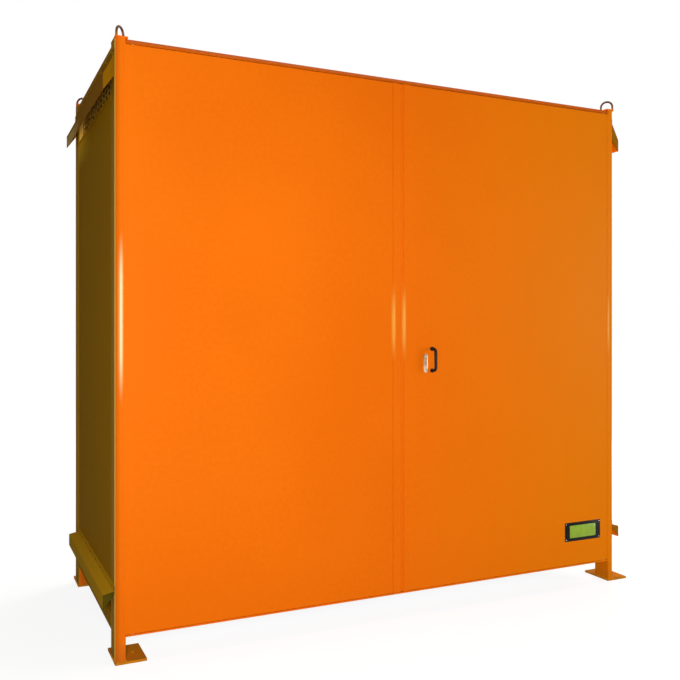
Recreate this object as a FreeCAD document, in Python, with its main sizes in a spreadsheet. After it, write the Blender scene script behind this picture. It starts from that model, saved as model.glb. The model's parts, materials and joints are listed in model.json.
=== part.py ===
"""Site storage container: two-leaf steel store on four legs.

Lengths are in millimetres. While modelling, x runs right from the outer face of the left posts, y runs back
from the front face of the posts and z runs up from the floor. The finished origin is the centre of the four
anchor holes in the foot plates, on the floor.
"""

import FreeCAD
import Part
import math
import os
import re
import Sketcher

SIZES = {
    # Corner posts and overall frame
    "width": 3100,
    "depth": 1420,
    "height": 2980,
    "post_width": 50,
    "post_depth": 120,
    "post_radius": 6,
    "post_corner": 32,
    "tube_wall": 4,
    # Foot plates and anchor holes, measured from the outer front-left corner of each leg
    "foot_width": 150,
    "foot_depth": 210,
    "foot_plate": 12,
    "foot_hole_x": 100,
    "foot_hole_y": 105,
    "foot_hole_radius": 9,
    # Door frame
    "leg_clearance": 129,
    "sill_plate": 8,
    "header_rise": 25,
    "header_slope": 16,
    "beam_height": 72,
    "stop_face": 62,
    "stop_bar": 8,
    "seal_width": 16,
    # Door leaves
    "leaf_depth": 50,
    "sheet": 3,
    "heel_radius": 15,
    "edge_radius": 3,
    "heel_flange": 45,
    "closing_flange": 100,
    "pivot_gap": 3,
    "seam_gap": 2.5,
    "door_gap": 3,
    "leaf_rail": 40,
    "rail_heel_gap": 16,
    "strip_width": 36,
    "strip_inset": 13.5,
    "strip_rise": 4,
    "strip_radius": 3.2,
    "meeting_seal": 10,
    # Pivots
    "pivot_inset": 30,
    "pivot_setback": 14,
    "pin_radius": 7,
    "pin_reach": 9.5,
    "bush_radius": 9.5,
    "bush_flange": 13,
    "bush_sleeve": 7,
    "running_fit": 0.05,
    "rest_gap": 0.3,
    # Shoot bolts of the left leaf
    "lever_height": 1150,
    "rod_inset": 50,
    "rod_radius": 8,
    "rod_travel": 25,
    "rod_recess": 2,
    "guide_width": 40,
    "guide_height": 14,
    "guide_reach": 192,
    "yoke_rise": 64,
    "yoke_arm": 27,
    "yoke_split": 3,
    "yoke_thick": 8,
    "crank_disc": 6,
    "crank_rim": 9,
    "crank_pin": 4,
    "crank_gap": 1.9,
    "slot_play": 1,
    "shaft_radius": 8,
    "shaft_bush": 14,
    "shaft_rosette": 20,
    "shaft_rosette_thick": 4,
    "lever_length": 130,
    "lever_width": 22,
    "lever_thick": 8,
    "lever_radius": 9,
    # Lock of the right leaf
    "lock_height": 1403,
    "lock_inset": 153,
    "bolt_travel": 20,
    "bolt_height": 40,
    "bolt_thick": 12,
    "bolt_tail": 24,
    "case_wall": 3,
    "case_front": 8,
    "case_depth": 34,
    "case_height": 140,
    "case_tail": 35,
    "case_rail_gap": 30,
    "plug_radius": 8,
    "plug_rise": 8,
    "plug_disc": 6,
    "plug_rim": 6,
    "plate_width": 26,
    "plate_height": 106,
    "plate_thick": 6,
    "plate_radius": 12,
    "strike_thick": 4,
    "strike_height": 110,
    # Pull handle
    "handle_inset": 198,
    "handle_height": 1422,
    "handle_span": 122,
    "handle_reach": 50,
    "handle_bar": 8,
    "handle_bend": 22,
    "handle_foot": 12,
    "handle_foot_thick": 5,
    # Side and rear frame
    "roof_drop": 18,
    "roof_sheet": 3,
    "rail_height": 60,
    "vent_rail": 40,
    "upper_vent": 160,
    "lower_vent": 126,
    "rear_rail": 60,
    "roof_rib": 40,
    "roof_rib_count": 3,
    # Wall sheets: smooth cassettes at the sides, ribbed sheet at the rear
    "wall_sheet": 2,
    "wall_recess": 3,
    "cassette_count": 3,
    "cassette_depth": 26,
    "cassette_gap": 0.6,
    "rib_depth": 24,
    "rib_pitch": 147.5,
    "rib_slope": 18,
    # Vent grilles
    "grille_recess": 30,
    "grille_pitch": 90,
    "grille_slot": 66,
    "grille_rows": 4,
    # Rain hoods
    "hood_setback": 20,
    "hood_sheet": 3,
    "hood_flange": 30,
    "hood_reach": 54,
    "upper_hood_drop": 100,
    "upper_hood_lip": 70,
    "lower_hood_rise": 10,
    "lower_hood_drop": 10,
    "lower_hood_lip": 67,
    # Crane lugs
    "lug_plate_width": 60,
    "lug_plate_length": 120,
    "lug_plate_thick": 8,
    "lug_plate_corner": 10,
    "lug_inset": 28,
    "lug_setback": 37,
    "lug_bar": 6,
    "lug_span": 70,
    "lug_bend": 34,
    "lug_height": 60,
    # Floor and shelf
    "tray_sheet": 4,
    "bearer_width": 40,
    "panel_count": 3,
    "panel_gap": 4,
    "grating_bar": 8,
    "bearing_rise": 20,
    "bearing_count": 12,
    "cross_rise": 10,
    "cross_count": 8,
    "shelf_height": 1600,
    "shelf_beam": 100,
    "shelf_beam_depth": 40,
    "shelf_beam_gap": 10,
    "connector": 5,
}

# Places that several pieces share, as expressions of the sizes
ORIGIN_X = "(foot_hole_x + (width - post_width) / 2)"
ORIGIN_Y = "(foot_hole_y + (depth - post_depth) / 2)"
SEAM = "(width / 2)"
INNER_WIDTH = "(width - 2 * post_width)"
REAR_POST = "(depth - post_depth)"
REAR_RAIL = "(depth - rear_rail)"
SILL_TOP = "(leg_clearance + sill_plate)"
FLOOR_TOP = "(leg_clearance + sill_plate + beam_height)"
HEADER_FOOT = "(height - header_rise)"
BEAM_FOOT = "(height - header_rise - beam_height)"
ROOF_TOP = "(height - roof_drop)"
TOP_RAIL_FOOT = "(height - roof_drop - rail_height)"
UPPER_VENT_FOOT = "(height - roof_drop - rail_height - upper_vent)"
LOWER_VENT_TOP = "(leg_clearance + sill_plate + beam_height + lower_vent)"
LEAF_FOOT = "(leg_clearance + sill_plate + door_gap)"
LEAF_TOP = "(height - header_rise - door_gap)"
LEAF_HEIGHT = f"({LEAF_TOP} - {LEAF_FOOT})"
LEAF_WIDTH = "((width - 2 * post_width - 2 * pivot_gap - seam_gap) / 2)"
PIVOT_X = "(post_width + pivot_gap + pivot_inset)"
ROD_X = f"({SEAM} - seam_gap / 2 - rod_inset)"
LOCK_X = f"({SEAM} + seam_gap / 2 + lock_inset)"
# A crank that swings 45 degrees to each side of its middle moves its slot by the square root of two radii
ROD_CRANK = "(rod_travel / sqrt(2))"
BOLT_CRANK = "(bolt_travel / sqrt(2))"

doc = FreeCAD.newDocument("site_storage_container")
sheet = doc.addObject("Spreadsheet::Sheet", "Sizes")
for row, (name, size) in enumerate(SIZES.items(), start=1):
    sheet.set(f"A{row}", name)
    sheet.set(f"B{row}", str(size))
    sheet.setAlias(f"B{row}", name)
doc.recompute()

nodes = []


def bound(text):
    """Point each size named in an expression at its cell in the sheet."""
    return re.sub(r"\b(?!sqrt\b)[a-z]\w*", lambda found: "Sizes." + found.group(0), str(text))


def value(text):
    """The present value of an expression of the sizes."""
    return float(sheet.evalExpression(bound(text)))


def place(piece, x, y, z):
    """Tie a piece's corner to a place measured from the left, the front and the floor."""
    piece.setExpression("Placement.Base.x", bound(f"{x} - {ORIGIN_X}"))
    piece.setExpression("Placement.Base.y", bound(f"{y} - {ORIGIN_Y}"))
    piece.setExpression("Placement.Base.z", bound(z))
    return piece


def box(name, x, y, z, length, width, height):
    piece = doc.addObject("Part::Box", name)
    piece.setExpression("Length", bound(length))
    piece.setExpression("Width", bound(width))
    piece.setExpression("Height", bound(height))
    return place(piece, x, y, z)


TURNS = {
    "y": FreeCAD.Rotation(FreeCAD.Vector(1, 0, 0), -90),
    "z": FreeCAD.Rotation(),
}


def rod(name, along, x, y, z, radius, length):
    """A round bar that starts at the given centre and runs along an axis."""
    piece = doc.addObject("Part::Cylinder", name)
    piece.setExpression("Radius", bound(radius))
    piece.setExpression("Height", bound(length))
    piece.Placement.Rotation = TURNS[along]
    return place(piece, x, y, z)


def rectangle(left, low, right, high):
    return [(left, low), (right, low), (right, high), (left, high)]


PLANES = {"x": "YZ_Plane", "y": "XZ_Plane", "z": "XY_Plane"}


def profile(name, along, outlines, length, x, y, z):
    """A body padded along an axis from closed outlines of straight edges; later outlines are holes."""
    body = doc.addObject("PartDesign::Body", name)
    sketch = body.newObject("Sketcher::SketchObject", name + "_sketch")
    plane = [feature for feature in body.Origin.OriginFeatures if feature.Role == PLANES[along]][0]
    sketch.AttachmentSupport = [(plane, "")]
    sketch.MapMode = "FlatFace"
    for outline in outlines:
        first = sketch.GeometryCount
        corners = [FreeCAD.Vector(value(u), value(v), 0) for u, v in outline]
        for index, corner in enumerate(corners):
            sketch.addGeometry(Part.LineSegment(corner, corners[(index + 1) % len(corners)]), False)
        for index, (u, v) in enumerate(outline):
            line = first + index
            following = first + (index + 1) % len(outline)
            sketch.addConstraint(Sketcher.Constraint("Coincident", line, 2, following, 1))
            for kind, text in (("DistanceX", u), ("DistanceY", v)):
                number = sketch.addConstraint(Sketcher.Constraint(kind, -1, 1, line, 1, value(text)))
                sketch.setExpression(f"Constraints[{number}]", bound(text))
    pad = body.newObject("PartDesign::Pad", name + "_pad")
    pad.Profile = sketch
    pad.Reversed = along == "y"
    pad.setExpression("Length", bound(length))
    doc.recompute()
    return place(body, x, y, z)


def tube(name, along, across, up, wall, length, x, y, z):
    """A rectangular hollow section; across and up are its sides in the plane it is padded from."""
    outer = rectangle("0", "0", across, up)
    inner = rectangle(wall, wall, f"{across} - {wall}", f"{up} - {wall}")
    return profile(name, along, [outer, inner], length, x, y, z)


def round_long_edges(body, along, radius, corners):
    """Round the edges of a body that run along an axis through the given corners of its profile."""
    base = body.Tip
    axes = {"x": ("y", "z"), "y": ("x", "z"), "z": ("x", "y")}[along]
    wanted = [(value(u), value(v)) for u, v in corners]
    found = []
    for index, edge in enumerate(base.Shape.Edges, start=1):
        ends = [vertex.Point for vertex in edge.Vertexes]
        if len(ends) < 2 or abs(getattr(ends[0] - ends[1], along)) < 1e-6:
            continue
        spot = [getattr(edge.CenterOfMass, axis) for axis in axes]
        if any(math.dist(spot, corner) < 1e-3 for corner in wanted):
            found.append(f"Edge{index}")
    fillet = body.newObject("PartDesign::Fillet", body.Name + "_round")
    fillet.Base = (base, found)
    fillet.setExpression("Radius", bound(radius))
    doc.recompute()
    return body


def cut(name, base, tools):
    piece = doc.addObject("Part::Cut", name)
    piece.Base = base
    piece.Tool = tools[0] if len(tools) == 1 else group(name + "_tools", tools)
    return piece


def fuse(name, pieces):
    piece = doc.addObject("Part::MultiFuse", name)
    piece.Shapes = pieces
    return piece


def group(name, pieces):
    """Identical or paired solids that share one node."""
    piece = doc.addObject("Part::Compound", name)
    piece.Links = pieces
    return piece


def formed(name, shape, x, y, z):
    """A piece shaped by a formula; its sizes are read from the sheet."""
    piece = doc.addObject("Part::Feature", name)
    piece.Shape = shape
    return place(piece, x, y, z)


def node(piece, name):
    piece.Label = name
    nodes.append(piece)
    return piece


def sheet_with_cells(length, width, thick, border, bar, columns, rows):
    """A flat panel with a grid of rectangular openings, for the vent grilles."""
    cell_length = (length - 2 * border - (columns - 1) * bar) / columns
    cell_width = (width - 2 * border - (rows - 1) * bar) / rows
    outline = Part.makePolygon(
        [FreeCAD.Vector(u * length, v * width, 0) for u, v in ((0, 0), (1, 0), (1, 1), (0, 1), (0, 0))]
    )
    wires = [outline]
    for column in range(columns):
        for line in range(rows):
            left = border + column * (cell_length + bar)
            front = border + line * (cell_width + bar)
            cell = [(left, front), (left, front + cell_width), (left + cell_length, front + cell_width)]
            cell += [(left + cell_length, front), (left, front)]
            wires.append(Part.makePolygon([FreeCAD.Vector(u, v, 0) for u, v in cell]))
    return Part.makeFace(wires, "Part::FaceMakerBullseye").extrude(FreeCAD.Vector(0, 0, thick))


def profiled_sheet(length, height):
    """Trapezoidal rear wall sheet along X, ribs upright, outer crests towards -Y."""
    thick = value("wall_sheet")
    deep = value("rib_depth")
    slope = value("rib_slope")
    count = max(1, round(length / value("rib_pitch")))
    pitch = length / count
    flat = (pitch - 2 * slope) / 2
    front = [(0.0, deep)]
    for index in range(count):
        start = index * pitch + flat / 2
        front += [(start, deep), (start + slope, 0.0), (start + slope + flat, 0.0)]
        front.append((start + 2 * slope + flat, deep))
    front.append((length, deep))
    outline = front + [(u, v + thick) for u, v in reversed(front)]
    points = [FreeCAD.Vector(u, v, 0) for u, v in outline]
    face = Part.Face(Part.makePolygon(points + points[:1]))
    return face.extrude(FreeCAD.Vector(0, 0, height))


def bent_bar(points, bend, radius):
    """A round bar along straight runs with the same bend at each inner point."""
    edges = []
    start = points[0]
    for before, corner, after in zip(points, points[1:], points[2:]):
        back = (before - corner).normalize()
        ahead = (after - corner).normalize()
        half = math.acos(max(-1.0, min(1.0, back.dot(ahead)))) / 2
        trim = bend / math.tan(half)
        inward = (back + ahead).normalize()
        middle = corner + inward * (bend / math.sin(half) - bend)
        enter = corner + back * trim
        leave = corner + ahead * trim
        if (enter - start).Length > 1e-6:
            edges.append(Part.LineSegment(start, enter).toShape())
        edges.append(Part.Arc(enter, middle, leave).toShape())
        start = leave
    edges.append(Part.LineSegment(start, points[-1]).toShape())
    section = Part.makeCircle(radius, points[0], points[1] - points[0])
    return Part.Wire(edges).makePipeShell([Part.Wire([section])], True, False)


# Corner posts, running down as legs onto the foot plates; the front ones have a well rounded outer corner
CORNERS = {
    "front_left": ("0", "0"),
    "front_right": ("(width - post_width)", "0"),
    "rear_right": ("(width - post_width)", REAR_POST),
    "rear_left": ("0", REAR_POST),
}
feet = []
for outer, (corner, (post_x, post_y)) in enumerate(CORNERS.items()):
    post = tube(
        corner + "_post", "z", "post_width", "post_depth", "tube_wall", "height - foot_plate",
        post_x, post_y, "foot_plate",
    )
    post_edges = rectangle("0", "0", "post_width", "post_depth")
    if corner.startswith("front"):
        hollow_edges = rectangle("tube_wall", "tube_wall", "post_width - tube_wall", "post_depth - tube_wall")
        round_long_edges(post, "z", "post_corner - tube_wall", [hollow_edges[outer]])
        round_long_edges(post, "z", "post_corner", [post_edges.pop(outer)])
    round_long_edges(post, "z", "post_radius", post_edges)
    node(post, corner + "_post")
    plate = box(corner + "_foot", post_x, post_y, "0", "foot_width", "foot_depth", "foot_plate")
    hole = rod(
        corner + "_anchor_hole", "z", f"{post_x} + foot_hole_x", f"{post_y} + foot_hole_y", "0",
        "foot_hole_radius", "foot_plate",
    )
    feet.append(cut(corner + "_foot_plate", plate, [hole]))
node(group("foot_plates_group", feet), "foot_plates")

# Door frame: a hollow header with a sloped edge and a flat sill carry the pivots, beams behind them the seals
SLOPE_SHIFT = "(tube_wall * (sqrt(2) - 1))"
header_outside = [
    ("0", "0"),
    ("post_depth", "0"),
    ("post_depth", "header_rise"),
    ("header_slope", "header_rise"),
    ("0", "header_rise - header_slope"),
]
header_inside = [
    ("tube_wall", "tube_wall"),
    ("post_depth - tube_wall", "tube_wall"),
    ("post_depth - tube_wall", "header_rise - tube_wall"),
    (f"header_slope + {SLOPE_SHIFT}", "header_rise - tube_wall"),
    ("tube_wall", f"header_rise - header_slope - {SLOPE_SHIFT}"),
]
header = profile(
    "header_tube", "x", [header_outside, header_inside], INNER_WIDTH, "post_width", "0", HEADER_FOOT,
)
sill = box("sill_bar", "post_width", "0", "leg_clearance", INNER_WIDTH, "post_depth", "sill_plate")
LEAF_MIDDLE = "(leaf_depth / 2)"
PIVOTS = {"left": PIVOT_X, "right": f"(width - {PIVOT_X})"}
header_holes = []
sill_holes = []
for side, pivot_x in PIVOTS.items():
    header_holes.append(
        rod(side + "_header_bore", "z", pivot_x, "pivot_setback", HEADER_FOOT, "bush_radius", "tube_wall")
    )
    sill_holes.append(
        rod(side + "_sill_bore", "z", pivot_x, "pivot_setback", "leg_clearance", "bush_radius", "sill_plate")
    )
header_holes.append(
    rod("header_keeper", "z", ROD_X, LEAF_MIDDLE, HEADER_FOOT, "rod_radius + slot_play", "tube_wall")
)
sill_holes.append(
    rod("sill_keeper", "z", ROD_X, LEAF_MIDDLE, "leg_clearance", "rod_radius + slot_play", "sill_plate")
)
node(cut("front_header_cut", header, header_holes), "front_header")
node(cut("sill_plate_cut", sill, sill_holes), "door_sill")
BEAM_DEPTH = "(post_depth - stop_face)"
for name, foot in (("header_beam", BEAM_FOOT), ("sill_beam", SILL_TOP)):
    beam = tube(
        name, "x", BEAM_DEPTH, "beam_height", "tube_wall", INNER_WIDTH, "post_width", "stop_face", foot,
    )
    node(beam, name)
# The seals stand clear of the circle that the heel of a turning leaf sweeps round its pivot
SEAL_X = f"({PIVOT_X} + pivot_inset)"
STOP_WIDTH = f"({SEAL_X} + seal_width - post_width)"
stops = []
for side, stop_x in (("left", "post_width"), ("right", f"(width - post_width - {STOP_WIDTH})")):
    stops.append(
        box(
            side + "_stop", stop_x, "stop_face", FLOOR_TOP,
            STOP_WIDTH, "stop_bar", f"{BEAM_FOOT} - {FLOOR_TOP}",
        )
    )
node(group("stops_group", stops), "jamb_stops")

# Door seal: four rubber strips on the stops and beams, just clear of the closed leaves
SEAL_DEPTH = "(stop_face - leaf_depth - rest_gap)"
SEAL_FRONT = "(leaf_depth + rest_gap)"
strips = [
    box(
        "left_seal", SEAL_X, SEAL_FRONT, FLOOR_TOP,
        "seal_width", SEAL_DEPTH, f"{BEAM_FOOT} - {FLOOR_TOP}",
    ),
    box(
        "right_seal", f"width - {SEAL_X} - seal_width", SEAL_FRONT, FLOOR_TOP,
        "seal_width", SEAL_DEPTH, f"{BEAM_FOOT} - {FLOOR_TOP}",
    ),
    box("top_seal", SEAL_X, SEAL_FRONT, BEAM_FOOT, f"width - 2 * {SEAL_X}", SEAL_DEPTH, "seal_width"),
    box(
        "bottom_seal", SEAL_X, SEAL_FRONT, f"{FLOOR_TOP} - seal_width",
        f"width - 2 * {SEAL_X}", SEAL_DEPTH, "seal_width",
    ),
]
node(group("seal_group", strips), "door_seal")

# Flanged pivot bushes in header and sill
bushes = []
BUSH_FLANGE_THICK = "(door_gap - rest_gap)"
for side, pivot_x in PIVOTS.items():
    for end, flange_z, sleeve_z in (
        ("top", f"{HEADER_FOOT} - {BUSH_FLANGE_THICK}", HEADER_FOOT),
        ("bottom", SILL_TOP, f"{SILL_TOP} - bush_sleeve"),
    ):
        tag = f"{side}_{end}_bush"
        flange = rod(
            tag + "_flange", "z", pivot_x, "pivot_setback", flange_z, "bush_flange", BUSH_FLANGE_THICK,
        )
        sleeve = rod(
            tag + "_sleeve", "z", pivot_x, "pivot_setback", sleeve_z,
            "bush_radius - running_fit", "bush_sleeve",
        )
        low = flange_z if end == "top" else sleeve_z
        bore = rod(
            tag + "_bore", "z", pivot_x, "pivot_setback", low,
            "pin_radius + running_fit", f"{BUSH_FLANGE_THICK} + bush_sleeve",
        )
        bushes.append(cut(tag, fuse(tag + "_blank", [flange, sleeve]), [bore]))
node(group("bushes_group", bushes), "pivot_bushes")

# Door leaves: folded pan, inner liner, cross rails, pivot pins and a stiffening strip near the closing edge
LEAF_HEEL = "(post_width + pivot_gap)"
CASE_FOOT = "(lock_height - case_height / 2)"
MIDDLE_RAIL = "(lock_height + case_height / 2 + case_rail_gap)"
TOP_RAIL = f"({LEAF_TOP} - leaf_rail)"
LEAF_RAILS = {
    "bottom": LEAF_FOOT,
    "lower": f"({LEAF_FOOT} + {CASE_FOOT} - leaf_rail) / 2",
    "middle": MIDDLE_RAIL,
    "upper": f"({MIDDLE_RAIL} + {TOP_RAIL}) / 2",
    "top": TOP_RAIL,
}


def leaf_outline(side):
    """Plan of the folded pan: front sheet, rounded heel, both returns and their back flanges."""
    turn = "" if side == "left" else "-1 * "
    inner_back = "(leaf_depth - sheet)"
    points = [
        ("0", "0"),
        (LEAF_WIDTH, "0"),
        (LEAF_WIDTH, "leaf_depth"),
        (f"({LEAF_WIDTH} - closing_flange)", "leaf_depth"),
        (f"({LEAF_WIDTH} - closing_flange)", inner_back),
        (f"({LEAF_WIDTH} - sheet)", inner_back),
        (f"({LEAF_WIDTH} - sheet)", "sheet"),
        ("sheet", "sheet"),
        ("sheet", inner_back),
        ("heel_flange", inner_back),
        ("heel_flange", "leaf_depth"),
        ("0", "leaf_depth"),
    ]
    return [(turn + u, v) for u, v in points]


def from_heel(side, distance, length="0"):
    """Place along X of something a distance from the leaf's heel edge, towards the seam."""
    if side == "left":
        return f"({LEAF_HEEL} + {distance})"
    return f"(width - {LEAF_HEEL} - {distance} - {length})"


def leaf_pan(side, openings):
    outline = leaf_outline(side)
    pan = profile(
        side + "_pan", "z", [outline], LEAF_HEIGHT, from_heel(side, "0"), "0", LEAF_FOOT,
    )
    round_long_edges(pan, "z", "heel_radius", [outline[11]])
    round_long_edges(pan, "z", "heel_radius - sheet", [outline[8]])
    round_long_edges(pan, "z", "edge_radius", outline[:3])
    return node(cut(side + "_pan_cut", pan, openings), side + "_leaf_pan")


def leaf_inside(side):
    """Liner, rails and pivot pins of one leaf."""
    liner_length = f"({LEAF_WIDTH} - heel_flange - closing_flange)"
    liner = box(
        side + "_liner", from_heel(side, "heel_flange", liner_length), "leaf_depth - sheet", LEAF_FOOT,
        liner_length, "sheet", LEAF_HEIGHT,
    )
    node(liner, side + "_leaf_liner")
    rail_length = f"({LEAF_WIDTH} - rail_heel_gap - closing_flange)"
    rails = []
    for spot, rail_z in LEAF_RAILS.items():
        rails.append(
            tube(
                f"{side}_{spot}_leaf_rail", "x", "(leaf_depth - 2 * sheet)", "leaf_rail", "sheet",
                rail_length, from_heel(side, "rail_heel_gap", rail_length), "sheet", rail_z,
            )
        )
    node(group(side + "_rails_group", rails), side + "_leaf_rails")
    pins = [
        rod(side + "_top_pin", "z", PIVOTS[side], "pivot_setback", LEAF_TOP, "pin_radius", "pin_reach"),
        rod(
            side + "_bottom_pin", "z", PIVOTS[side], "pivot_setback", f"{LEAF_FOOT} - pin_reach",
            "pin_radius", "pin_reach",
        ),
    ]
    node(group(side + "_pins_group", pins), side + "_pivot_pins")
    if side == "left":
        strip_x = f"{SEAM} - seam_gap / 2 - strip_inset - strip_width"
    else:
        strip_x = f"{SEAM} + seam_gap / 2 + strip_inset"
    strip = profile(
        side + "_strip", "z",
        [rectangle("0", "0", "strip_width", "strip_rise")],
        LEAF_HEIGHT, strip_x, "-1 * strip_rise", LEAF_FOOT,
    )
    round_long_edges(strip, "z", "strip_radius", [("0", "0"), ("strip_width", "0")])
    node(strip, side + "_closing_strip")


# Left leaf, with openings for the deadbolt and the lever shaft
BOLT_FOOT = "(lock_height + bolt_travel / sqrt(2) * (1 + sqrt(2) / 2) / 2 - bolt_height / 2)"
BOLT_FRONT = "(case_front + case_depth - case_wall - bolt_thick - slot_play)"
LEFT_EDGE = f"({SEAM} - seam_gap / 2)"
RIGHT_EDGE = f"({SEAM} + seam_gap / 2)"
strike_slot = box(
    "strike_slot", f"{LEFT_EDGE} - sheet", f"{BOLT_FRONT} - slot_play", f"{BOLT_FOOT} - slot_play",
    "sheet", "bolt_thick + 2 * slot_play", "bolt_height + 2 * slot_play",
)
shaft_hole = rod(
    "shaft_hole", "y", ROD_X, "leaf_depth - sheet", "lever_height", "shaft_bush + running_fit", "sheet",
)
leaf_pan("left", [strike_slot, shaft_hole])
leaf_inside("left")
seal_strip = box(
    "meeting_strip", LEFT_EDGE, f"{LEAF_MIDDLE} - meeting_seal / 2", LEAF_FOOT,
    "seam_gap - slot_play", "meeting_seal", f"{BOLT_FOOT} - slot_play - {LEAF_FOOT}",
)
seal_strip_above = box(
    "meeting_strip_above", LEFT_EDGE, f"{LEAF_MIDDLE} - meeting_seal / 2",
    f"{BOLT_FOOT} + bolt_height + slot_play",
    "seam_gap - slot_play", "meeting_seal", f"{LEAF_TOP} - {BOLT_FOOT} - bolt_height - slot_play",
)
node(group("meeting_seal_group", [seal_strip, seal_strip_above]), "meeting_seal")
strike_blank = box(
    "strike_blank", f"{LEFT_EDGE} - sheet - strike_thick", "sheet + slot_play",
    f"{BOLT_FOOT} + bolt_height / 2 - strike_height / 2",
    "strike_thick", "leaf_depth - 2 * sheet - 2 * slot_play", "strike_height",
)
strike_hole = box(
    "strike_hole", f"{LEFT_EDGE} - sheet - strike_thick", f"{BOLT_FRONT} - slot_play",
    f"{BOLT_FOOT} - slot_play", "strike_thick", "bolt_thick + 2 * slot_play", "bolt_height + 2 * slot_play",
)
node(cut("strike_cut", strike_blank, [strike_hole]), "strike_plate")

# Shoot bolts: a crank disc on the lever's shaft drives both rods through slotted yokes
guides = []
GUIDE_SPOTS = {
    "top": f"{LEAF_TOP} - guide_height",
    "upper": "lever_height + guide_reach",
    "lower": "lever_height - guide_reach - guide_height",
    "bottom": LEAF_FOOT,
}
for spot, guide_z in GUIDE_SPOTS.items():
    blank = box(
        spot + "_guide_blank", f"{ROD_X} - guide_width / 2", "sheet", guide_z,
        "guide_width", "leaf_depth - 2 * sheet", "guide_height",
    )
    bore = rod(
        spot + "_guide_bore", "z", ROD_X, LEAF_MIDDLE, guide_z, "rod_radius + running_fit", "guide_height",
    )
    guides.append(cut(spot + "_guide", blank, [bore]))
node(group("guides_group", guides), "rod_guides")


def yoke_rod(name, turn, end_z):
    """Round bolt with its slotted yoke; turn is 1 for the top rod and -1 for the bottom one."""
    pin_x = f"{ROD_CRANK} * sqrt(2) / 2"
    pin_z = f"(-1 * {ROD_CRANK} * sqrt(2) / 2)"
    slot_half = "(crank_pin + slot_play)"
    arm = [
        ("yoke_split", f"{pin_z} - 2 * {slot_half}"),
        ("yoke_split + yoke_arm", f"{pin_z} - 2 * {slot_half}"),
        ("yoke_split + yoke_arm", "yoke_rise + rod_radius"),
        ("-1 * rod_radius", "yoke_rise + rod_radius"),
        ("-1 * rod_radius", "yoke_rise - rod_radius"),
        ("yoke_split", "yoke_rise - rod_radius"),
    ]
    slot = rectangle(
        f"({pin_x} - {slot_half})", f"({pin_z} - {slot_half})",
        f"({ROD_CRANK} + {slot_half})", f"({pin_z} + {slot_half})",
    )
    turned = [[(f"{turn} * ({u})", f"{turn} * ({v})") for u, v in line] for line in (arm, slot)]
    yoke = profile(
        name + "_yoke", "y", turned, "yoke_thick", ROD_X, f"{LEAF_MIDDLE} - yoke_thick / 2", "lever_height",
    )
    start = f"lever_height + {turn} * yoke_rise"
    low = start if turn > 0 else end_z
    bar = rod(name + "_bar", "z", ROD_X, LEAF_MIDDLE, low, "rod_radius", f"{turn} * ({end_z} - ({start}))")
    return node(fuse(name + "_fuse", [bar, yoke]), name)


yoke_rod("top_rod", 1, f"({LEAF_TOP} - rod_recess)")
yoke_rod("bottom_rod", -1, f"({LEAF_FOOT} + rod_recess)")

DISC_BACK = "(leaf_depth - sheet - crank_gap)"
DISC_FRONT = f"({DISC_BACK} - crank_disc)"
disc = rod(
    "disc_blank", "y", ROD_X, DISC_FRONT, "lever_height", f"{ROD_CRANK} + crank_rim", "crank_disc",
)
crank_pins = []
for side, turn in (("right", 1), ("left", -1)):
    crank_pins.append(
        rod(
            side + "_crank_pin", "y", f"{ROD_X} + {turn} * {ROD_CRANK} * sqrt(2) / 2",
            f"{LEAF_MIDDLE} - yoke_thick / 2", f"lever_height - {turn} * {ROD_CRANK} * sqrt(2) / 2",
            "crank_pin", f"{DISC_FRONT} - {LEAF_MIDDLE} + yoke_thick / 2 + crank_disc / 2",
        )
    )
node(fuse("crank_fuse", [disc] + crank_pins), "crank_disc")
LEVER_FRONT = "(leaf_depth + shaft_rosette_thick + rest_gap)"
shaft = rod(
    "lever_shaft", "y", ROD_X, DISC_BACK, "lever_height", "shaft_radius",
    f"{LEVER_FRONT} + lever_thick - {DISC_BACK}",
)
arm = profile(
    "lever_arm", "y",
    [rectangle("-1 * lever_width / 2", "-1 * lever_width / 2", "lever_width / 2", "lever_length")],
    "lever_thick", ROD_X, LEVER_FRONT, "lever_height",
)
round_long_edges(
    arm, "y", "lever_radius",
    rectangle("-1 * lever_width / 2", "-1 * lever_width / 2", "lever_width / 2", "lever_length"),
)
node(fuse("lever_fuse", [shaft, arm]), "bolt_lever")
rosette = rod(
    "rosette_flange", "y", ROD_X, "leaf_depth", "lever_height", "shaft_rosette", "shaft_rosette_thick",
)
sleeve = rod("rosette_sleeve", "y", ROD_X, "leaf_depth - sheet", "lever_height", "shaft_bush", "sheet")
bore = rod(
    "rosette_bore", "y", ROD_X, "leaf_depth - sheet", "lever_height",
    "shaft_radius + running_fit", "sheet + shaft_rosette_thick",
)
node(cut("rosette_cut", fuse("rosette_blank", [rosette, sleeve]), [bore]), "lever_bush")

# Right leaf, with openings for the deadbolt and the lock plug
bolt_slot = box(
    "bolt_slot", RIGHT_EDGE, f"{BOLT_FRONT} - slot_play", f"{BOLT_FOOT} - slot_play",
    "sheet", "bolt_thick + 2 * slot_play", "bolt_height + 2 * slot_play",
)
plug_hole = rod("plug_hole", "y", LOCK_X, "0", "lock_height", "plug_radius + slot_play", "sheet")
leaf_pan("right", [bolt_slot, plug_hole])
leaf_inside("right")

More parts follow.
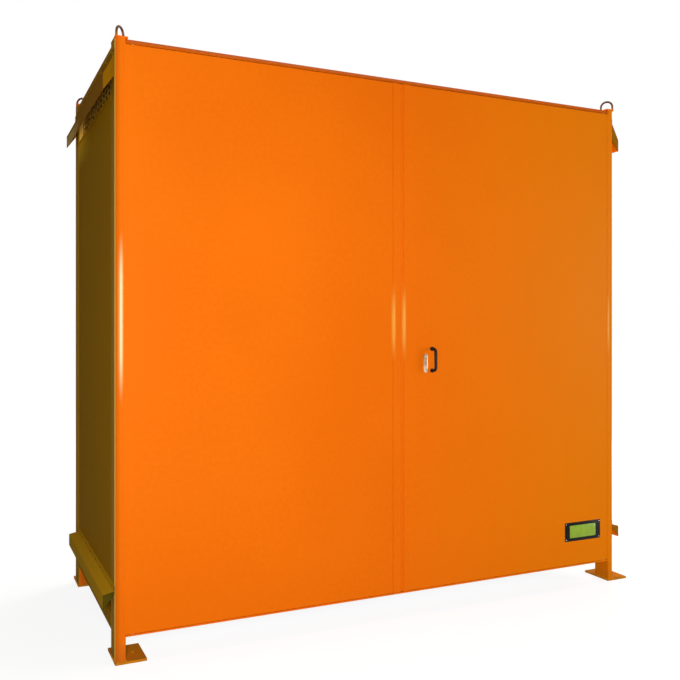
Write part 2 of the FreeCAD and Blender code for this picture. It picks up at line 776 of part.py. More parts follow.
# Lock: plug with crank pin, slotted deadbolt, case and escutcheon
CASE_X = f"({RIGHT_EDGE} + sheet)"
CASE_LENGTH = f"({LOCK_X} + case_tail - {CASE_X})"
case_blank = box("case_blank", CASE_X, "case_front", CASE_FOOT, CASE_LENGTH, "case_depth", "case_height")
case_room = box(
    "case_room", f"{CASE_X} + case_wall", "case_front + case_wall", f"{CASE_FOOT} + case_wall",
    f"{CASE_LENGTH} - 2 * case_wall", "case_depth - 2 * case_wall", "case_height - 2 * case_wall",
)
case_mouth = box(
    "case_mouth", CASE_X, f"{BOLT_FRONT} - rest_gap", f"{BOLT_FOOT} - rest_gap",
    "case_wall", "bolt_thick + 2 * rest_gap", "bolt_height + 2 * rest_gap",
)
case_bore = rod(
    "case_bore", "y", LOCK_X, "case_front", "lock_height", "plug_radius + running_fit", "case_wall",
)
node(cut("case_cut", case_blank, [case_room, case_mouth, case_bore]), "lock_case")
PLUG_DISC_FRONT = "(case_front + case_wall + rest_gap)"
plug = rod(
    "plug_barrel", "y", LOCK_X, "-1 * plug_rise", "lock_height",
    "plug_radius", f"plug_rise + {PLUG_DISC_FRONT} + plug_disc / 2",
)
plug_disc = rod(
    "plug_disc", "y", LOCK_X, PLUG_DISC_FRONT, "lock_height", f"{BOLT_CRANK} + plug_rim", "plug_disc",
)
plug_pin = rod(
    "plug_pin", "y", f"{LOCK_X} + {BOLT_CRANK} * sqrt(2) / 2", f"{PLUG_DISC_FRONT} + plug_disc / 2",
    f"lock_height + {BOLT_CRANK} * sqrt(2) / 2", "crank_pin",
    f"{BOLT_FRONT} + bolt_thick - {PLUG_DISC_FRONT} - plug_disc / 2",
)
node(fuse("plug_fuse", [plug, plug_disc, plug_pin]), "lock_plug")
BOLT_X = f"({RIGHT_EDGE} + slot_play)"
BOLT_LENGTH = f"({LOCK_X} + {BOLT_CRANK} * sqrt(2) / 2 + bolt_tail / 2 - {BOLT_X})"
bolt_bar = box("bolt_bar", BOLT_X, BOLT_FRONT, BOLT_FOOT, BOLT_LENGTH, "bolt_thick", "bolt_height")
PIN_ROOM = "(crank_pin + slot_play)"
bolt_slot_room = box(
    "bolt_slot_room", f"{LOCK_X} + {BOLT_CRANK} * sqrt(2) / 2 - {PIN_ROOM}", BOLT_FRONT,
    f"lock_height + {BOLT_CRANK} * sqrt(2) / 2 - {PIN_ROOM}",
    f"2 * {PIN_ROOM}", "bolt_thick", f"{BOLT_CRANK} * (1 - sqrt(2) / 2) + 2 * {PIN_ROOM}",
)
node(cut("deadbolt_cut", bolt_bar, [bolt_slot_room]), "deadbolt")
plate_outline = rectangle(
    "-1 * plate_width / 2", "-1 * plate_height / 2", "plate_width / 2", "plate_height / 2",
)
plate = profile(
    "escutcheon_plate", "y", [plate_outline], "plate_thick", LOCK_X, "-1 * plate_thick", "lock_height",
)
round_long_edges(plate, "y", "plate_radius", plate_outline)
plate_bore = rod(
    "plate_bore", "y", LOCK_X, "-1 * plate_thick", "lock_height", "plug_radius + running_fit", "plate_thick",
)
node(cut("escutcheon_cut", plate, [plate_bore]), "lock_escutcheon")

# Pull handle: a bent bar with a foot at each end
HANDLE_X = f"({RIGHT_EDGE} + handle_inset)"
half_span = value("handle_span") / 2
reach = value("handle_reach") - value("handle_bar")
bow = bent_bar(
    [
        FreeCAD.Vector(0, 0, -half_span),
        FreeCAD.Vector(0, -reach, -half_span),
        FreeCAD.Vector(0, -reach, half_span),
        FreeCAD.Vector(0, 0, half_span),
    ],
    value("handle_bend"),
    value("handle_bar"),
)
bow_bar = formed("handle_bow", bow, HANDLE_X, "0", "handle_height")
handle_feet = []
for end, turn in (("lower", -1), ("upper", 1)):
    handle_feet.append(
        rod(
            end + "_handle_foot", "y", HANDLE_X, "-1 * handle_foot_thick",
            f"handle_height + {turn} * handle_span / 2", "handle_foot", "handle_foot_thick",
        )
    )
node(fuse("handle_fuse", [bow_bar] + handle_feet), "pull_handle")

# Side frames: floor rail, two vent rails, top rail, wall cassettes and vent grilles on each side
SIDE_LENGTH = "(depth - 2 * post_depth)"
CASSETTE_PITCH = f"({SIDE_LENGTH} / cassette_count)"
CASSETTE_WIDTH = f"({CASSETTE_PITCH} - cassette_gap)"
SIDES = {"left": "0", "right": "(width - post_width)"}
SIDE_RAILS = {
    "floor": (SILL_TOP, "beam_height"),
    "lower_vent": (LOWER_VENT_TOP, "vent_rail"),
    "upper_vent": (f"{UPPER_VENT_FOOT} - vent_rail", "vent_rail"),
    "top": (TOP_RAIL_FOOT, "rail_height"),
}
for side, side_x in SIDES.items():
    rails = []
    for spot, (foot, rise) in SIDE_RAILS.items():
        rails.append(
            tube(
                f"{side}_{spot}_side_rail", "y", "post_width", rise, "tube_wall", SIDE_LENGTH,
                side_x, "post_depth", foot,
            )
        )
    node(group(side + "_side_rails_group", rails), side + "_side_rails")
    wall_foot = f"({LOWER_VENT_TOP} + vent_rail)"
    wall_height = f"({UPPER_VENT_FOOT} - vent_rail - {wall_foot})"
    inward = "" if side == "left" else "-1 * "
    wall_x = "wall_recess" if side == "left" else "width - wall_recess"
    cassette_plan = [
        ("0", "0"),
        ("cassette_depth", "0"),
        ("cassette_depth", "wall_sheet"),
        ("wall_sheet", "wall_sheet"),
        ("wall_sheet", f"{CASSETTE_WIDTH} - wall_sheet"),
        ("cassette_depth", f"{CASSETTE_WIDTH} - wall_sheet"),
        ("cassette_depth", CASSETTE_WIDTH),
        ("0", CASSETTE_WIDTH),
    ]
    cassettes = []
    for index in range(int(value("cassette_count"))):
        cassettes.append(
            profile(
                f"{side}_cassette_{index}", "z", [[(inward + u, v) for u, v in cassette_plan]], wall_height,
                wall_x, f"post_depth + {index} * {CASSETTE_PITCH} + cassette_gap / 2", wall_foot,
            )
        )
    node(group(side + "_wall_group", cassettes), side + "_wall")
    grilles = []
    for spot, foot, rise in (
        ("lower", FLOOR_TOP, "lower_vent"),
        ("upper", UPPER_VENT_FOOT, "upper_vent"),
    ):
        columns = max(1, int(value(SIDE_LENGTH) // value("grille_pitch")))
        bar = value("grille_pitch - grille_slot")
        panel = sheet_with_cells(
            value(SIDE_LENGTH), value(rise), value("wall_sheet"), bar, bar / 2, columns,
            int(value("grille_rows")),
        )
        panel.rotate(FreeCAD.Vector(0, 0, 0), FreeCAD.Vector(1, 0, 0), 90)
        panel.rotate(FreeCAD.Vector(0, 0, 0), FreeCAD.Vector(0, 0, 1), 90)
        grille_x = "grille_recess" if side == "left" else "width - grille_recess - wall_sheet"
        grilles.append(formed(f"{side}_{spot}_grille", panel, grille_x, "post_depth", foot))
    node(group(side + "_grilles_group", grilles), side + "_vent_grilles")

# Rain hoods over the vents: folded sheet with a cheek at each end
HOODS = {
    "upper": (TOP_RAIL_FOOT, "depth", "upper_hood_drop", "upper_hood_lip"),
    "lower": (f"({LOWER_VENT_TOP} + lower_hood_rise)", REAR_POST, "lower_hood_drop", "lower_hood_lip"),
}
for side in SIDES:
    turn = "-1 * " if side == "left" else ""
    hood_x = "0" if side == "left" else "width"
    for spot, (bend_z, rear_end, drop, lip) in HOODS.items():
        sheet_line = [
            ("0", "hood_flange"),
            ("0", "0"),
            ("hood_reach - hood_sheet", f"-1 * {drop}"),
            ("hood_reach - hood_sheet", f"-1 * ({drop} + {lip})"),
        ]
        outer_line = [(f"{u} + hood_sheet", v) for u, v in reversed(sheet_line)]
        folded = [(f"{turn}({u})", v) for u, v in sheet_line + outer_line]
        hood = profile(
            f"{side}_{spot}_hood_sheet", "y", [folded], f"{rear_end} - hood_setback",
            hood_x, "hood_setback", bend_z,
        )
        cheek_line = sheet_line[1:] + [("0", f"-1 * {drop}")]
        cheek_outline = [(f"{turn}({u})", v) for u, v in cheek_line]
        pieces = [hood]
        for end, cheek_y in (("front", "hood_setback"), ("rear", f"{rear_end} - hood_sheet")):
            pieces.append(
                profile(
                    f"{side}_{spot}_{end}_cheek", "y", [cheek_outline], "hood_sheet", hood_x, cheek_y, bend_z,
                )
            )
        node(group(f"{side}_{spot}_hood_group", pieces), f"{side}_{spot}_hood")

# Rear frame and wall
for name, foot, rise in (
    ("rear_header", "height - rear_rail", "rear_rail"),
    ("rear_sill", SILL_TOP, "beam_height"),
):
    rail = tube(name, "x", "rear_rail", rise, "tube_wall", INNER_WIDTH, "post_width", REAR_RAIL, foot)
    node(rail, name)
rear_sheet = profiled_sheet(value(INNER_WIDTH), value(f"height - rear_rail - {FLOOR_TOP}"))
rear_sheet.rotate(FreeCAD.Vector(0, 0, 0), FreeCAD.Vector(0, 0, 1), 180)
node(
    formed("rear_wall_sheet", rear_sheet, "width - post_width", "depth - wall_recess", FLOOR_TOP),
    "rear_wall",
)

# Roof sheet on the top rails, ribs below it
roof_outline = [
    ("0", "post_depth"),
    ("width", "post_depth"),
    ("width", REAR_POST),
    ("width - post_width", REAR_POST),
    ("width - post_width", REAR_RAIL),
    ("post_width", REAR_RAIL),
    ("post_width", REAR_POST),
    ("0", REAR_POST),
]
roof = profile("roof_panel", "z", [roof_outline], "roof_sheet", "0", "0", ROOF_TOP)
node(roof, "roof_sheet")
ribs = []
for index in range(1, int(value("roof_rib_count")) + 1):
    ribs.append(
        tube(
            f"roof_rib_{index}", "y", "roof_rib", "roof_rib", "tube_wall", f"{REAR_RAIL} - post_depth",
            f"width * {index} / (roof_rib_count + 1) - roof_rib / 2", "post_depth", f"{ROOF_TOP} - roof_rib",
        )
    )
node(group("ribs_group", ribs), "roof_ribs")

# Crane lugs: bent bars on corner plates, each in line with its corner of the roof
lug_plates = []
lugs = []
lug_turn = math.degrees(math.atan2(value("lug_setback"), value("lug_inset")))
lug_half = value("lug_span") / 2
lug_top = value("lug_height") - value("lug_bar")
for outer, corner in enumerate(CORNERS):
    on_left = corner.endswith("left")
    at_front = corner.startswith("front")
    plate_x = "0" if on_left else "width - lug_plate_width"
    plate_y = "0" if at_front else "depth - lug_plate_length"
    plate_edges = rectangle("0", "0", "lug_plate_width", "lug_plate_length")
    plate = profile(
        corner + "_lug_plate", "z", [plate_edges], "lug_plate_thick", plate_x, plate_y, "height",
    )
    round_long_edges(plate, "z", "lug_plate_corner", [plate_edges[outer]])
    lug_plates.append(plate)
    bar = bent_bar(
        [
            FreeCAD.Vector(-lug_half, 0, 0),
            FreeCAD.Vector(-lug_half, 0, lug_top),
            FreeCAD.Vector(lug_half, 0, lug_top),
            FreeCAD.Vector(lug_half, 0, 0),
        ],
        value("lug_bend"),
        value("lug_bar"),
    )
    turn = lug_turn if on_left == at_front else -lug_turn
    bar.rotate(FreeCAD.Vector(0, 0, 0), FreeCAD.Vector(0, 0, 1), turn)
    lug_x = "lug_inset" if on_left else "width - lug_inset"
    lug_y = "lug_setback" if at_front else "depth - lug_setback"
    lugs.append(formed(corner + "_lug_bar", bar, lug_x, lug_y, "height + lug_plate_thick"))
node(group("lug_plates_group", lug_plates), "lug_plates")
node(group("lugs_group", lugs), "crane_lugs")

# Sump tray: floor and four walls welded between the rails, with bearers across it
TRAY_DEPTH = f"({REAR_RAIL} - post_depth)"
TRAY_WALL = "(beam_height - tray_sheet)"
TRAY_WALL_FOOT = f"({SILL_TOP} + tray_sheet)"
tray = [
    box("tray_floor", "post_width", "post_depth", SILL_TOP, INNER_WIDTH, TRAY_DEPTH, "tray_sheet"),
    box("tray_front", "post_width", "post_depth", TRAY_WALL_FOOT, INNER_WIDTH, "tray_sheet", TRAY_WALL),
    box(
        "tray_rear", "post_width", f"{REAR_RAIL} - tray_sheet", TRAY_WALL_FOOT,
        INNER_WIDTH, "tray_sheet", TRAY_WALL,
    ),
]
for side, wall_x in (("left", "post_width"), ("right", "(width - post_width - tray_sheet)")):
    tray.append(
        box(
            f"tray_{side}", wall_x, "post_depth + tray_sheet", TRAY_WALL_FOOT,
            "tray_sheet", f"{TRAY_DEPTH} - 2 * tray_sheet", TRAY_WALL,
        )
    )
node(group("tray_group", tray), "sump_tray")
PANEL_PITCH = f"({INNER_WIDTH} / panel_count)"
bearers = []
for index in range(1, int(value("panel_count"))):
    bearers.append(
        box(
            f"bearer_{index}", f"post_width + {index} * {PANEL_PITCH} - bearer_width / 2",
            "post_depth + tray_sheet", TRAY_WALL_FOOT,
            "bearer_width", f"{TRAY_DEPTH} - 2 * tray_sheet", TRAY_WALL,
        )
    )
node(group("bearers_group", bearers), "floor_bearers")


def grating_panels(name, foot, front, back):
    """Side-by-side gratings: bearing bars along X, with flatter cross bars laid over them."""
    length = f"({PANEL_PITCH} - panel_gap)"
    depth = f"({back} - {front} - panel_gap)"
    panel_y = f"{front} + panel_gap / 2"
    bars = []
    for panel in range(int(value("panel_count"))):
        panel_x = f"post_width + {panel} * {PANEL_PITCH} + panel_gap / 2"
        for index in range(int(value("bearing_count"))):
            step = f"{index} / (bearing_count - 1) * ({depth} - grating_bar)"
            bars.append(
                box(
                    f"{name}_{panel}_bearing_{index}", panel_x, f"{panel_y} + {step}", foot,
                    length, "grating_bar", "bearing_rise",
                )
            )
        for index in range(int(value("cross_count"))):
            step = f"{index} / (cross_count - 1) * ({length} - grating_bar)"
            bars.append(
                box(
                    f"{name}_{panel}_cross_{index}", f"{panel_x} + {step}", panel_y, f"{foot} + bearing_rise",
                    "grating_bar", depth, "cross_rise",
                )
            )
    return node(group(name + "_group", bars), name)


grating_panels("floor_gratings", FLOOR_TOP, "post_depth", REAR_RAIL)

# Shelf level: box beams on end connectors, with gratings on top
BEAM_FOOT_SHELF = "(shelf_height - shelf_beam)"
SHELF_FRONT = "(post_depth - shelf_beam_depth)"
SHELF_REAR = f"({REAR_POST} + shelf_beam_gap)"
beams = []
connectors = []
for spot, beam_y in (
    ("front", SHELF_FRONT),
    ("rear", SHELF_REAR),
):
    beams.append(
        tube(
            spot + "_shelf_beam", "x", "shelf_beam_depth", "shelf_beam", "tube_wall",
            f"{INNER_WIDTH} - 2 * connector", "post_width + connector", beam_y, BEAM_FOOT_SHELF,
        )
    )
    for side, connector_x in (("left", "post_width"), ("right", "(width - post_width - connector)")):
        connectors.append(
            box(
                f"{spot}_{side}_connector", connector_x, beam_y, f"{BEAM_FOOT_SHELF} - shelf_beam_gap",
                "connector", "shelf_beam_depth", "shelf_beam + shelf_beam_gap",
            )
        )
node(group("shelf_beams_group", beams), "shelf_beams")
node(group("connectors_group", connectors), "shelf_connectors")
grating_panels("shelf_gratings", "shelf_height", SHELF_FRONT, f"({SHELF_REAR} + shelf_beam_depth)")

doc.recompute()

# Refuse to write anything unless every object is sound
for item in doc.Objects:
    if "Invalid" in item.State or "Error" in item.State:
        raise RuntimeError(f"{item.Label} did not build: {item.State}")
for piece in nodes:
    if piece.Shape.isNull() or not piece.Shape.isValid():
        raise RuntimeError(f"{piece.Label} has no sound shape")

os.makedirs("parts", exist_ok=True)
for piece in nodes:
    piece.Shape.exportStep(f"parts/{piece.Label}.step")
print(len(nodes), "nodes,", sum(len(piece.Shape.Solids) for piece in nodes), "solids")
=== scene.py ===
"""Looks of the site storage container: studio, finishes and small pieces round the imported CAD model."""

import json
import math

import bpy
from mathutils import Matrix, Vector


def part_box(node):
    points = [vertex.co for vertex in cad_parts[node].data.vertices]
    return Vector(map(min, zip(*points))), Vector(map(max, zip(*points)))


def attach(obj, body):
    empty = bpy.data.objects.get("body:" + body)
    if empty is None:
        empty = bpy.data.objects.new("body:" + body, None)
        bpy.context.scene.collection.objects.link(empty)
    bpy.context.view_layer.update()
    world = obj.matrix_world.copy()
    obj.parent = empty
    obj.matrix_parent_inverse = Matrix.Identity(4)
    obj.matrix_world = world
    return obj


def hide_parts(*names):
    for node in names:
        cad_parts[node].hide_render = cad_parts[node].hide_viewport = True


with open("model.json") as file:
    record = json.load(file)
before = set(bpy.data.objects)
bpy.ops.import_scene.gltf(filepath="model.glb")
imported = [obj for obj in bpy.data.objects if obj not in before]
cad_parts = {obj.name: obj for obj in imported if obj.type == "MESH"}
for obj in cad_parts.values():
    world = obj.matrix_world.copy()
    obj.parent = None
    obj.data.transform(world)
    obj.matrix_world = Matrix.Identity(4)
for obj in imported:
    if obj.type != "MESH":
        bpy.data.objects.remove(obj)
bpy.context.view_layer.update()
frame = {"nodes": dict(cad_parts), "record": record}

# Studio: a pale floor that runs up to a white surround, a soft lamp beside the camera and a broad one to
# the right, with others over the roof, behind and on the right side. The camera stands left of the store
# at eye height and looks level, as a catalogue photographer would.
CAMERA_PLACE = (-2.303, -4.692, 1.597)
CAMERA_TURN = math.radians(25.206)
CAMERA_LENS = 43.09
CAMERA_SENSOR = 36.0
CAMERA_SHIFT = -0.0167
camera_data = bpy.data.cameras.new("photo_camera")
camera_data.lens = CAMERA_LENS
camera_data.sensor_width = CAMERA_SENSOR
camera_data.shift_y = CAMERA_SHIFT
camera = bpy.data.objects.new("photo_camera", camera_data)
camera.location = CAMERA_PLACE
camera.rotation_euler = (math.pi / 2, 0.0, -CAMERA_TURN)
bpy.context.scene.collection.objects.link(camera)
bpy.context.scene.camera = camera
bpy.context.scene.view_settings.view_transform = "Standard"


def soft_lamp(name, place, target, size, watts):
    """A rectangular softbox that points at a target."""
    lamp = bpy.data.lights.new(name, "AREA")
    lamp.shape = "RECTANGLE"
    lamp.size, lamp.size_y = size
    lamp.energy = watts
    holder = bpy.data.objects.new(name, lamp)
    holder.location = place
    holder.rotation_euler = (Vector(target) - Vector(place)).to_track_quat("-Z", "Y").to_euler()
    bpy.context.scene.collection.objects.link(holder)


soft_lamp("camera_softbox", (-2.45, -5.3, 1.80), (-0.4, -0.7, 1.6), (0.9, 1.3), 195)
soft_lamp("fill_softbox", (8.0, -5.0, 2.0), (0.8, -0.7, 1.5), (2.0, 2.4), 260)
soft_lamp("roof_softbox", (0.5, 0.8, 7.0), (0.0, 0.0, 2.0), (5.0, 4.0), 200)
soft_lamp("back_softbox", (6.0, 5.2, 3.2), (0.2, 0.7, 1.5), (3.0, 3.0), 260)
soft_lamp("right_softbox", (7.0, 1.5, 3.0), (1.5, 0.0, 1.5), (4.0, 3.0), 55)


class Wire:
    """A socket of one node tree. Arithmetic on it adds Math nodes, and add() adds any other node."""

    def __init__(self, tree, socket=None):
        self.tree = tree
        self.socket = socket

    def add(self, kind, settings=None, sockets=None, output=0):
        """A node of that type with its settings and sockets, as the wire from one of its outputs."""
        made = self.tree.nodes.new(kind)
        for name, setting in (settings or {}).items():
            setattr(made, name, setting)
        for name, fed in (sockets or {}).items():
            self.feed(made.inputs[name], fed)
        return Wire(self.tree, made.outputs[output])

    def feed(self, entry, fed):
        """Link a wire to a socket, or set the socket to a value."""
        if isinstance(fed, Wire):
            self.tree.links.new(fed.socket, entry)
        else:
            entry.default_value = fed

    def maths(self, operation, first, second):
        """A Math node of two values."""
        return self.add("ShaderNodeMath", {"operation": operation}, {0: first, 1: second})

    def __add__(self, other):
        return self.maths("ADD", self, other)

    def __radd__(self, other):
        return self.maths("ADD", other, self)

    def __sub__(self, other):
        return self.maths("SUBTRACT", self, other)

    def __rsub__(self, other):
        return self.maths("SUBTRACT", other, self)

    def __mul__(self, other):
        return self.maths("MULTIPLY", self, other)

    def __rmul__(self, other):
        return self.maths("MULTIPLY", other, self)

    def rise(self, low, high):
        """A mask that goes smoothly from 0 at the low value to 1 at the high one."""
        return self.add(
            "ShaderNodeMapRange", {"interpolation_type": "SMOOTHSTEP"},
            {"Value": self, "From Min": low, "From Max": high},
        )

    def mix(self, first, second):
        """The first colour where this mask is 0 and the second where it is 1."""
        return self.add("ShaderNodeMix", {"data_type": "RGBA"}, {"Factor": self, 6: first, 7: second}, 2)

    def spot(self):
        """The object coordinates."""
        return self.add("ShaderNodeTexCoord", output="Object")

    def place(self, axis):
        """The object coordinate along one axis."""
        return self.add("ShaderNodeSeparateXYZ", None, {"Vector": self.spot()}, axis)

    def noise(self, scale, detail=2.0, squeeze=(1.0, 1.0, 1.0)):
        """Noise on object coordinates, squeezed along each axis by a factor."""
        grid = self.add("ShaderNodeMapping", None, {"Vector": self.spot(), "Scale": squeeze})
        return self.add("ShaderNodeTexNoise", None, {"Vector": grid, "Scale": scale, "Detail": detail})

    def bump(self, strength, distance):
        """The normal of a skin with this relief."""
        relief = {"Strength": strength, "Distance": distance, "Height": self}
        return self.add("ShaderNodeBump", None, relief)


def seen_rays(wire):
    """A mask of the rays that see the white studio: the camera's, reflections and those through glass."""
    rays = wire.add("ShaderNodeLightPath")
    seen = rays
    for ray in ("Is Glossy Ray", "Is Transmission Ray"):
        seen = seen.maths("MAXIMUM", seen, Wire(rays.tree, rays.socket.node.outputs[ray]))
    return seen


AMBIENT = 0.06
world = bpy.data.worlds.new("studio")
bpy.context.scene.world = world
world.use_nodes = True
surround = world.node_tree.nodes["Background"]
sky = Wire(world.node_tree)
sky.feed(surround.inputs["Color"], (1.0, 1.0, 1.0, 1.0))
sky.feed(surround.inputs["Strength"], seen_rays(sky) * (1.0 - AMBIENT) + AMBIENT)


def start_piece():
    """Deselect everything before a new piece is added."""
    bpy.ops.object.select_all(action="DESELECT")


FLOOR_SIZE = 120.0
FLOOR_GREY = (0.32, 0.32, 0.32, 1.0)
FLOOR_NEAR = 0.84
FLOOR_FADE = (2.0, 6.0)
start_piece()
bpy.ops.mesh.primitive_plane_add(size=FLOOR_SIZE)
floor = bpy.context.object
floor.name = "studio_floor"
floor_finish = bpy.data.materials.new("studio_floor")
floor_finish.use_nodes = True
floor_nodes = floor_finish.node_tree.nodes
floor_nodes.remove(floor_nodes["Principled BSDF"])
boards = Wire(floor_finish.node_tree)
reach = boards.add("ShaderNodeVectorMath", {"operation": "LENGTH"}, {0: boards.spot()}, "Value")
glow_strength = seen_rays(boards) * (FLOOR_NEAR + (1.0 - FLOOR_NEAR) * reach.rise(*FLOOR_FADE))
matt = boards.add("ShaderNodeBsdfDiffuse", None, {"Color": FLOOR_GREY})
glow = boards.add("ShaderNodeEmission", None, {"Strength": glow_strength})
both = boards.add("ShaderNodeAddShader", None, {0: matt, 1: glow})
boards.feed(floor_nodes["Material Output"].inputs["Surface"], both)
floor.data.materials.append(floor_finish)

# Corner posts: rectangular steel tubes that run down as legs, the front pair with a wide outer corner.
# Like all the shell they carry sprayed orange enamel with a fine peel skin, splashed with site dust near
# the ground. The left outer side is painted a darker, yellower amber as painted shade, with a pale
# painted sheen down its front corner; the rear left post carries painted light high on its front under
# the hood, and the front left corner a painted highlight in a band of heights.
POSTS = ("front_left_post", "front_right_post", "rear_left_post", "rear_right_post")
ORANGE_DEEP = (0.90, 0.166, 0.0028, 1.0)
ORANGE_LIGHT = (0.96, 0.184, 0.0034, 1.0)
ORANGE_FADED = (0.96, 0.240, 0.0016, 1.0)
ORANGE = (ORANGE_DEEP, ORANGE_LIGHT, ORANGE_FADED)
FADE_RUN = (-0.2, 1.6)
# Painted shade: a darker, yellower amber for the outer faces of the shaded left side.
SHADED_AMBER_DEEP = (0.43, 0.202, 0.0012, 1.0)
# Painted light: a pale sheen down the front left corner, and pale light high on the rear left post.
PAINTED_PALE_LIGHT = (0.98, 0.58, 0.100, 1.0)
# The heights where that painted light begins on the rear left post.
PAINTED_LIGHT_FROM = (2.2, 2.4)
SITE_DUST = (0.20, 0.105, 0.020, 1.0)
# Painted highlight: a paler tone along front edges in a band of heights, under a glossy coat.
PAINTED_HIGHLIGHT = (0.98, 0.46, 0.070, 1.0)
HIGHLIGHT_SHARE = 0.85
HIGHLIGHT_DEPTH = 0.010
HIGHLIGHT_HEIGHT = (1.22, 1.50, 1.80, 2.08)
POST_HIGHLIGHT_IN = 0.027
POST_HIGHLIGHT_HALF = 0.020


def lay_on(finish, sockets):
    """Set or feed sockets of a finish's shader."""
    shader = finish.node_tree.nodes["Principled BSDF"]
    for socket, fed in sockets.items():
        Wire(finish.node_tree).feed(shader.inputs[socket], fed)


def new_finish(name, constants):
    """A new material with the constant sockets of its shader set, and a first wire in its node tree."""
    finish = bpy.data.materials.new(name)
    finish.use_nodes = True
    lay_on(finish, constants)
    return finish, Wire(finish.node_tree)


def enamel(name, tones, gloss, roughness, patches=(), highlights=(), highlight_height=HIGHLIGHT_HEIGHT, shine=1.0):
    """Orange enamel: cloudy tone, slight sun fade towards the right, dust low down, an orange-peel skin.

    A patch is another tone with its ranges: an axis, the value where the patch begins and the one where
    it is full. A highlight edge on the front is its X and half-width: a painted highlight pales it in a
    band of heights, and a glossy coat is laid there by the share that shine gives.
    """
    finish, coat = new_finish(
        name, {"Specular IOR Level": gloss, "Coat IOR": 1.8, "Coat Roughness": 0.42}
    )
    deep, light, faded = tones
    cloud = coat.noise(scale=0.9, detail=3.0)
    speckle = coat.noise(scale=45.0, detail=3.0)
    fresh = (cloud * 0.7 + speckle * 0.3).rise(0.35, 0.65).mix(deep, light)
    tone = coat.place("X").rise(*FADE_RUN).mix(fresh, faded)
    for patch_tone, *ranges in patches:
        inside = 1.0
        for axis, begin, full in ranges:
            inside = inside * coat.place(axis).rise(begin, full)
        tone = inside.mix(tone, patch_tone)
    # Painted highlight: paler bells round each edge in a band of heights; the same mask lays the coat.
    if highlights:
        highlight_bells = 0.0
        for edge_x, half_width in highlights:
            off_edge = coat.place("X") - edge_x
            highlight_bells = highlight_bells + (1.0 - off_edge.maths("ABSOLUTE", off_edge, 0.0).rise(0.0, half_width))
        lowest, low, high, highest = highlight_height
        height = coat.place("Z")
        in_highlight_band = height.rise(lowest, low) * height.rise(highest, high)
        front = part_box("front_left_post")[0].y
        on_front = coat.place("Y").rise(front + 2 * HIGHLIGHT_DEPTH, front + HIGHLIGHT_DEPTH)
        highlight_and_gloss = highlight_bells * (in_highlight_band * on_front)
        tone = (highlight_and_gloss * HIGHLIGHT_SHARE).mix(tone, PAINTED_HIGHLIGHT)
        lay_on(finish, {"Coat Weight": highlight_and_gloss * shine})
    dust = (coat.noise(scale=9.0, detail=4.0) * 0.25 - coat.place("Z")).rise(0.0, 0.2)
    lay_on(finish, {
        "Base Color": (dust * 0.4).mix(tone, SITE_DUST),
        "Roughness": roughness + cloud * 0.10 + dust * 0.20,
        "Normal": coat.noise(scale=260.0).bump(strength=0.05, distance=0.001),
    })
    return finish


def patch_range(axis, start, begin, full):
    """A range of a patch that begins and is full at these distances from a start."""
    return axis, start + begin, start + full


def dress(material, *names):
    """Give CAD nodes a finish."""
    for name in names:
        mesh = frame["nodes"][name].data
        mesh.materials.clear()
        mesh.materials.append(material)


post_x, post_y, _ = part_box("front_left_post")[0]
rear_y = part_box("rear_left_post")[0].y
left_side = ("X", 0.0, post_x + 0.06)
outer_face = patch_range("X", post_x, 0.010, 0.005)
rear_post_front = [patch_range("Y", rear_y, 0.004, 0.001), patch_range("Y", rear_y, -0.010, -0.001)]
# Painted light under the hood and as a sheen down the corner; amber painted shade on left outer faces.
post_patches = [
    (PAINTED_PALE_LIGHT, left_side, *rear_post_front, ("Z", *PAINTED_LIGHT_FROM)),
    (PAINTED_PALE_LIGHT, patch_range("Y", post_y, 0.014, 0.022), outer_face),
    (SHADED_AMBER_DEEP, patch_range("Y", post_y, 0.030, 0.033), outer_face),
]
# Painted highlight down the front left corner.
post_highlight = [(post_x + POST_HIGHLIGHT_IN, POST_HIGHLIGHT_HALF)]
post_enamel = enamel("post_enamel", ORANGE, 0.04, 0.65, post_patches, post_highlight)
dress(post_enamel, *POSTS)

# Foot plates: flat steel with an anchor hole, welded round the bottom of each leg with a rippled fillet
# bead and painted, like the bead, a yellower and slightly darker orange than the posts as painted shade.
# Painted shade: a yellower, slightly darker orange for the foot plates and the leg welds.
FOOT_SHADE_DEEP = (0.80, 0.25, 0.003, 1.0)
FOOT_SHADE_LIGHT = (0.90, 0.30, 0.004, 1.0)
POST_CORNER = 0.032
CORNER_STEPS = 8
BEAD = 0.0042
BEAD_STEP = 0.0036
BEAD_LIFT = 0.001
RIPPLE_SQUEEZE = 0.6
RIPPLE_BURIED = 0.5
SMOOTH_ANGLE = 0.7


def select_only(piece):
    """Make a piece the active one, and the only one selected."""
    start_piece()
    piece.select_set(True)
    bpy.context.view_layer.objects.active = piece


def edit_all():
    """Go into edit mode with all of the active piece selected."""
    bpy.ops.object.mode_set(mode="EDIT")
    bpy.ops.mesh.select_all(action="SELECT")


def weld_ripple(size):
    """One ripple of a weld bead: a ball squeezed along the bead, its buried underside cut off."""
    start_piece()
    bpy.ops.mesh.primitive_uv_sphere_add(segments=8, ring_count=5, radius=size)
    ripple = bpy.context.object
    edit_all()
    bpy.ops.transform.resize(value=(RIPPLE_SQUEEZE, 1.0, 1.0))
    buried = (0, 0, -RIPPLE_BURIED * size)
    bpy.ops.mesh.bisect(plane_co=buried, plane_no=(0, 0, 1), clear_inner=True, use_fill=True)
    bpy.ops.object.mode_set(mode="OBJECT")
    return ripple


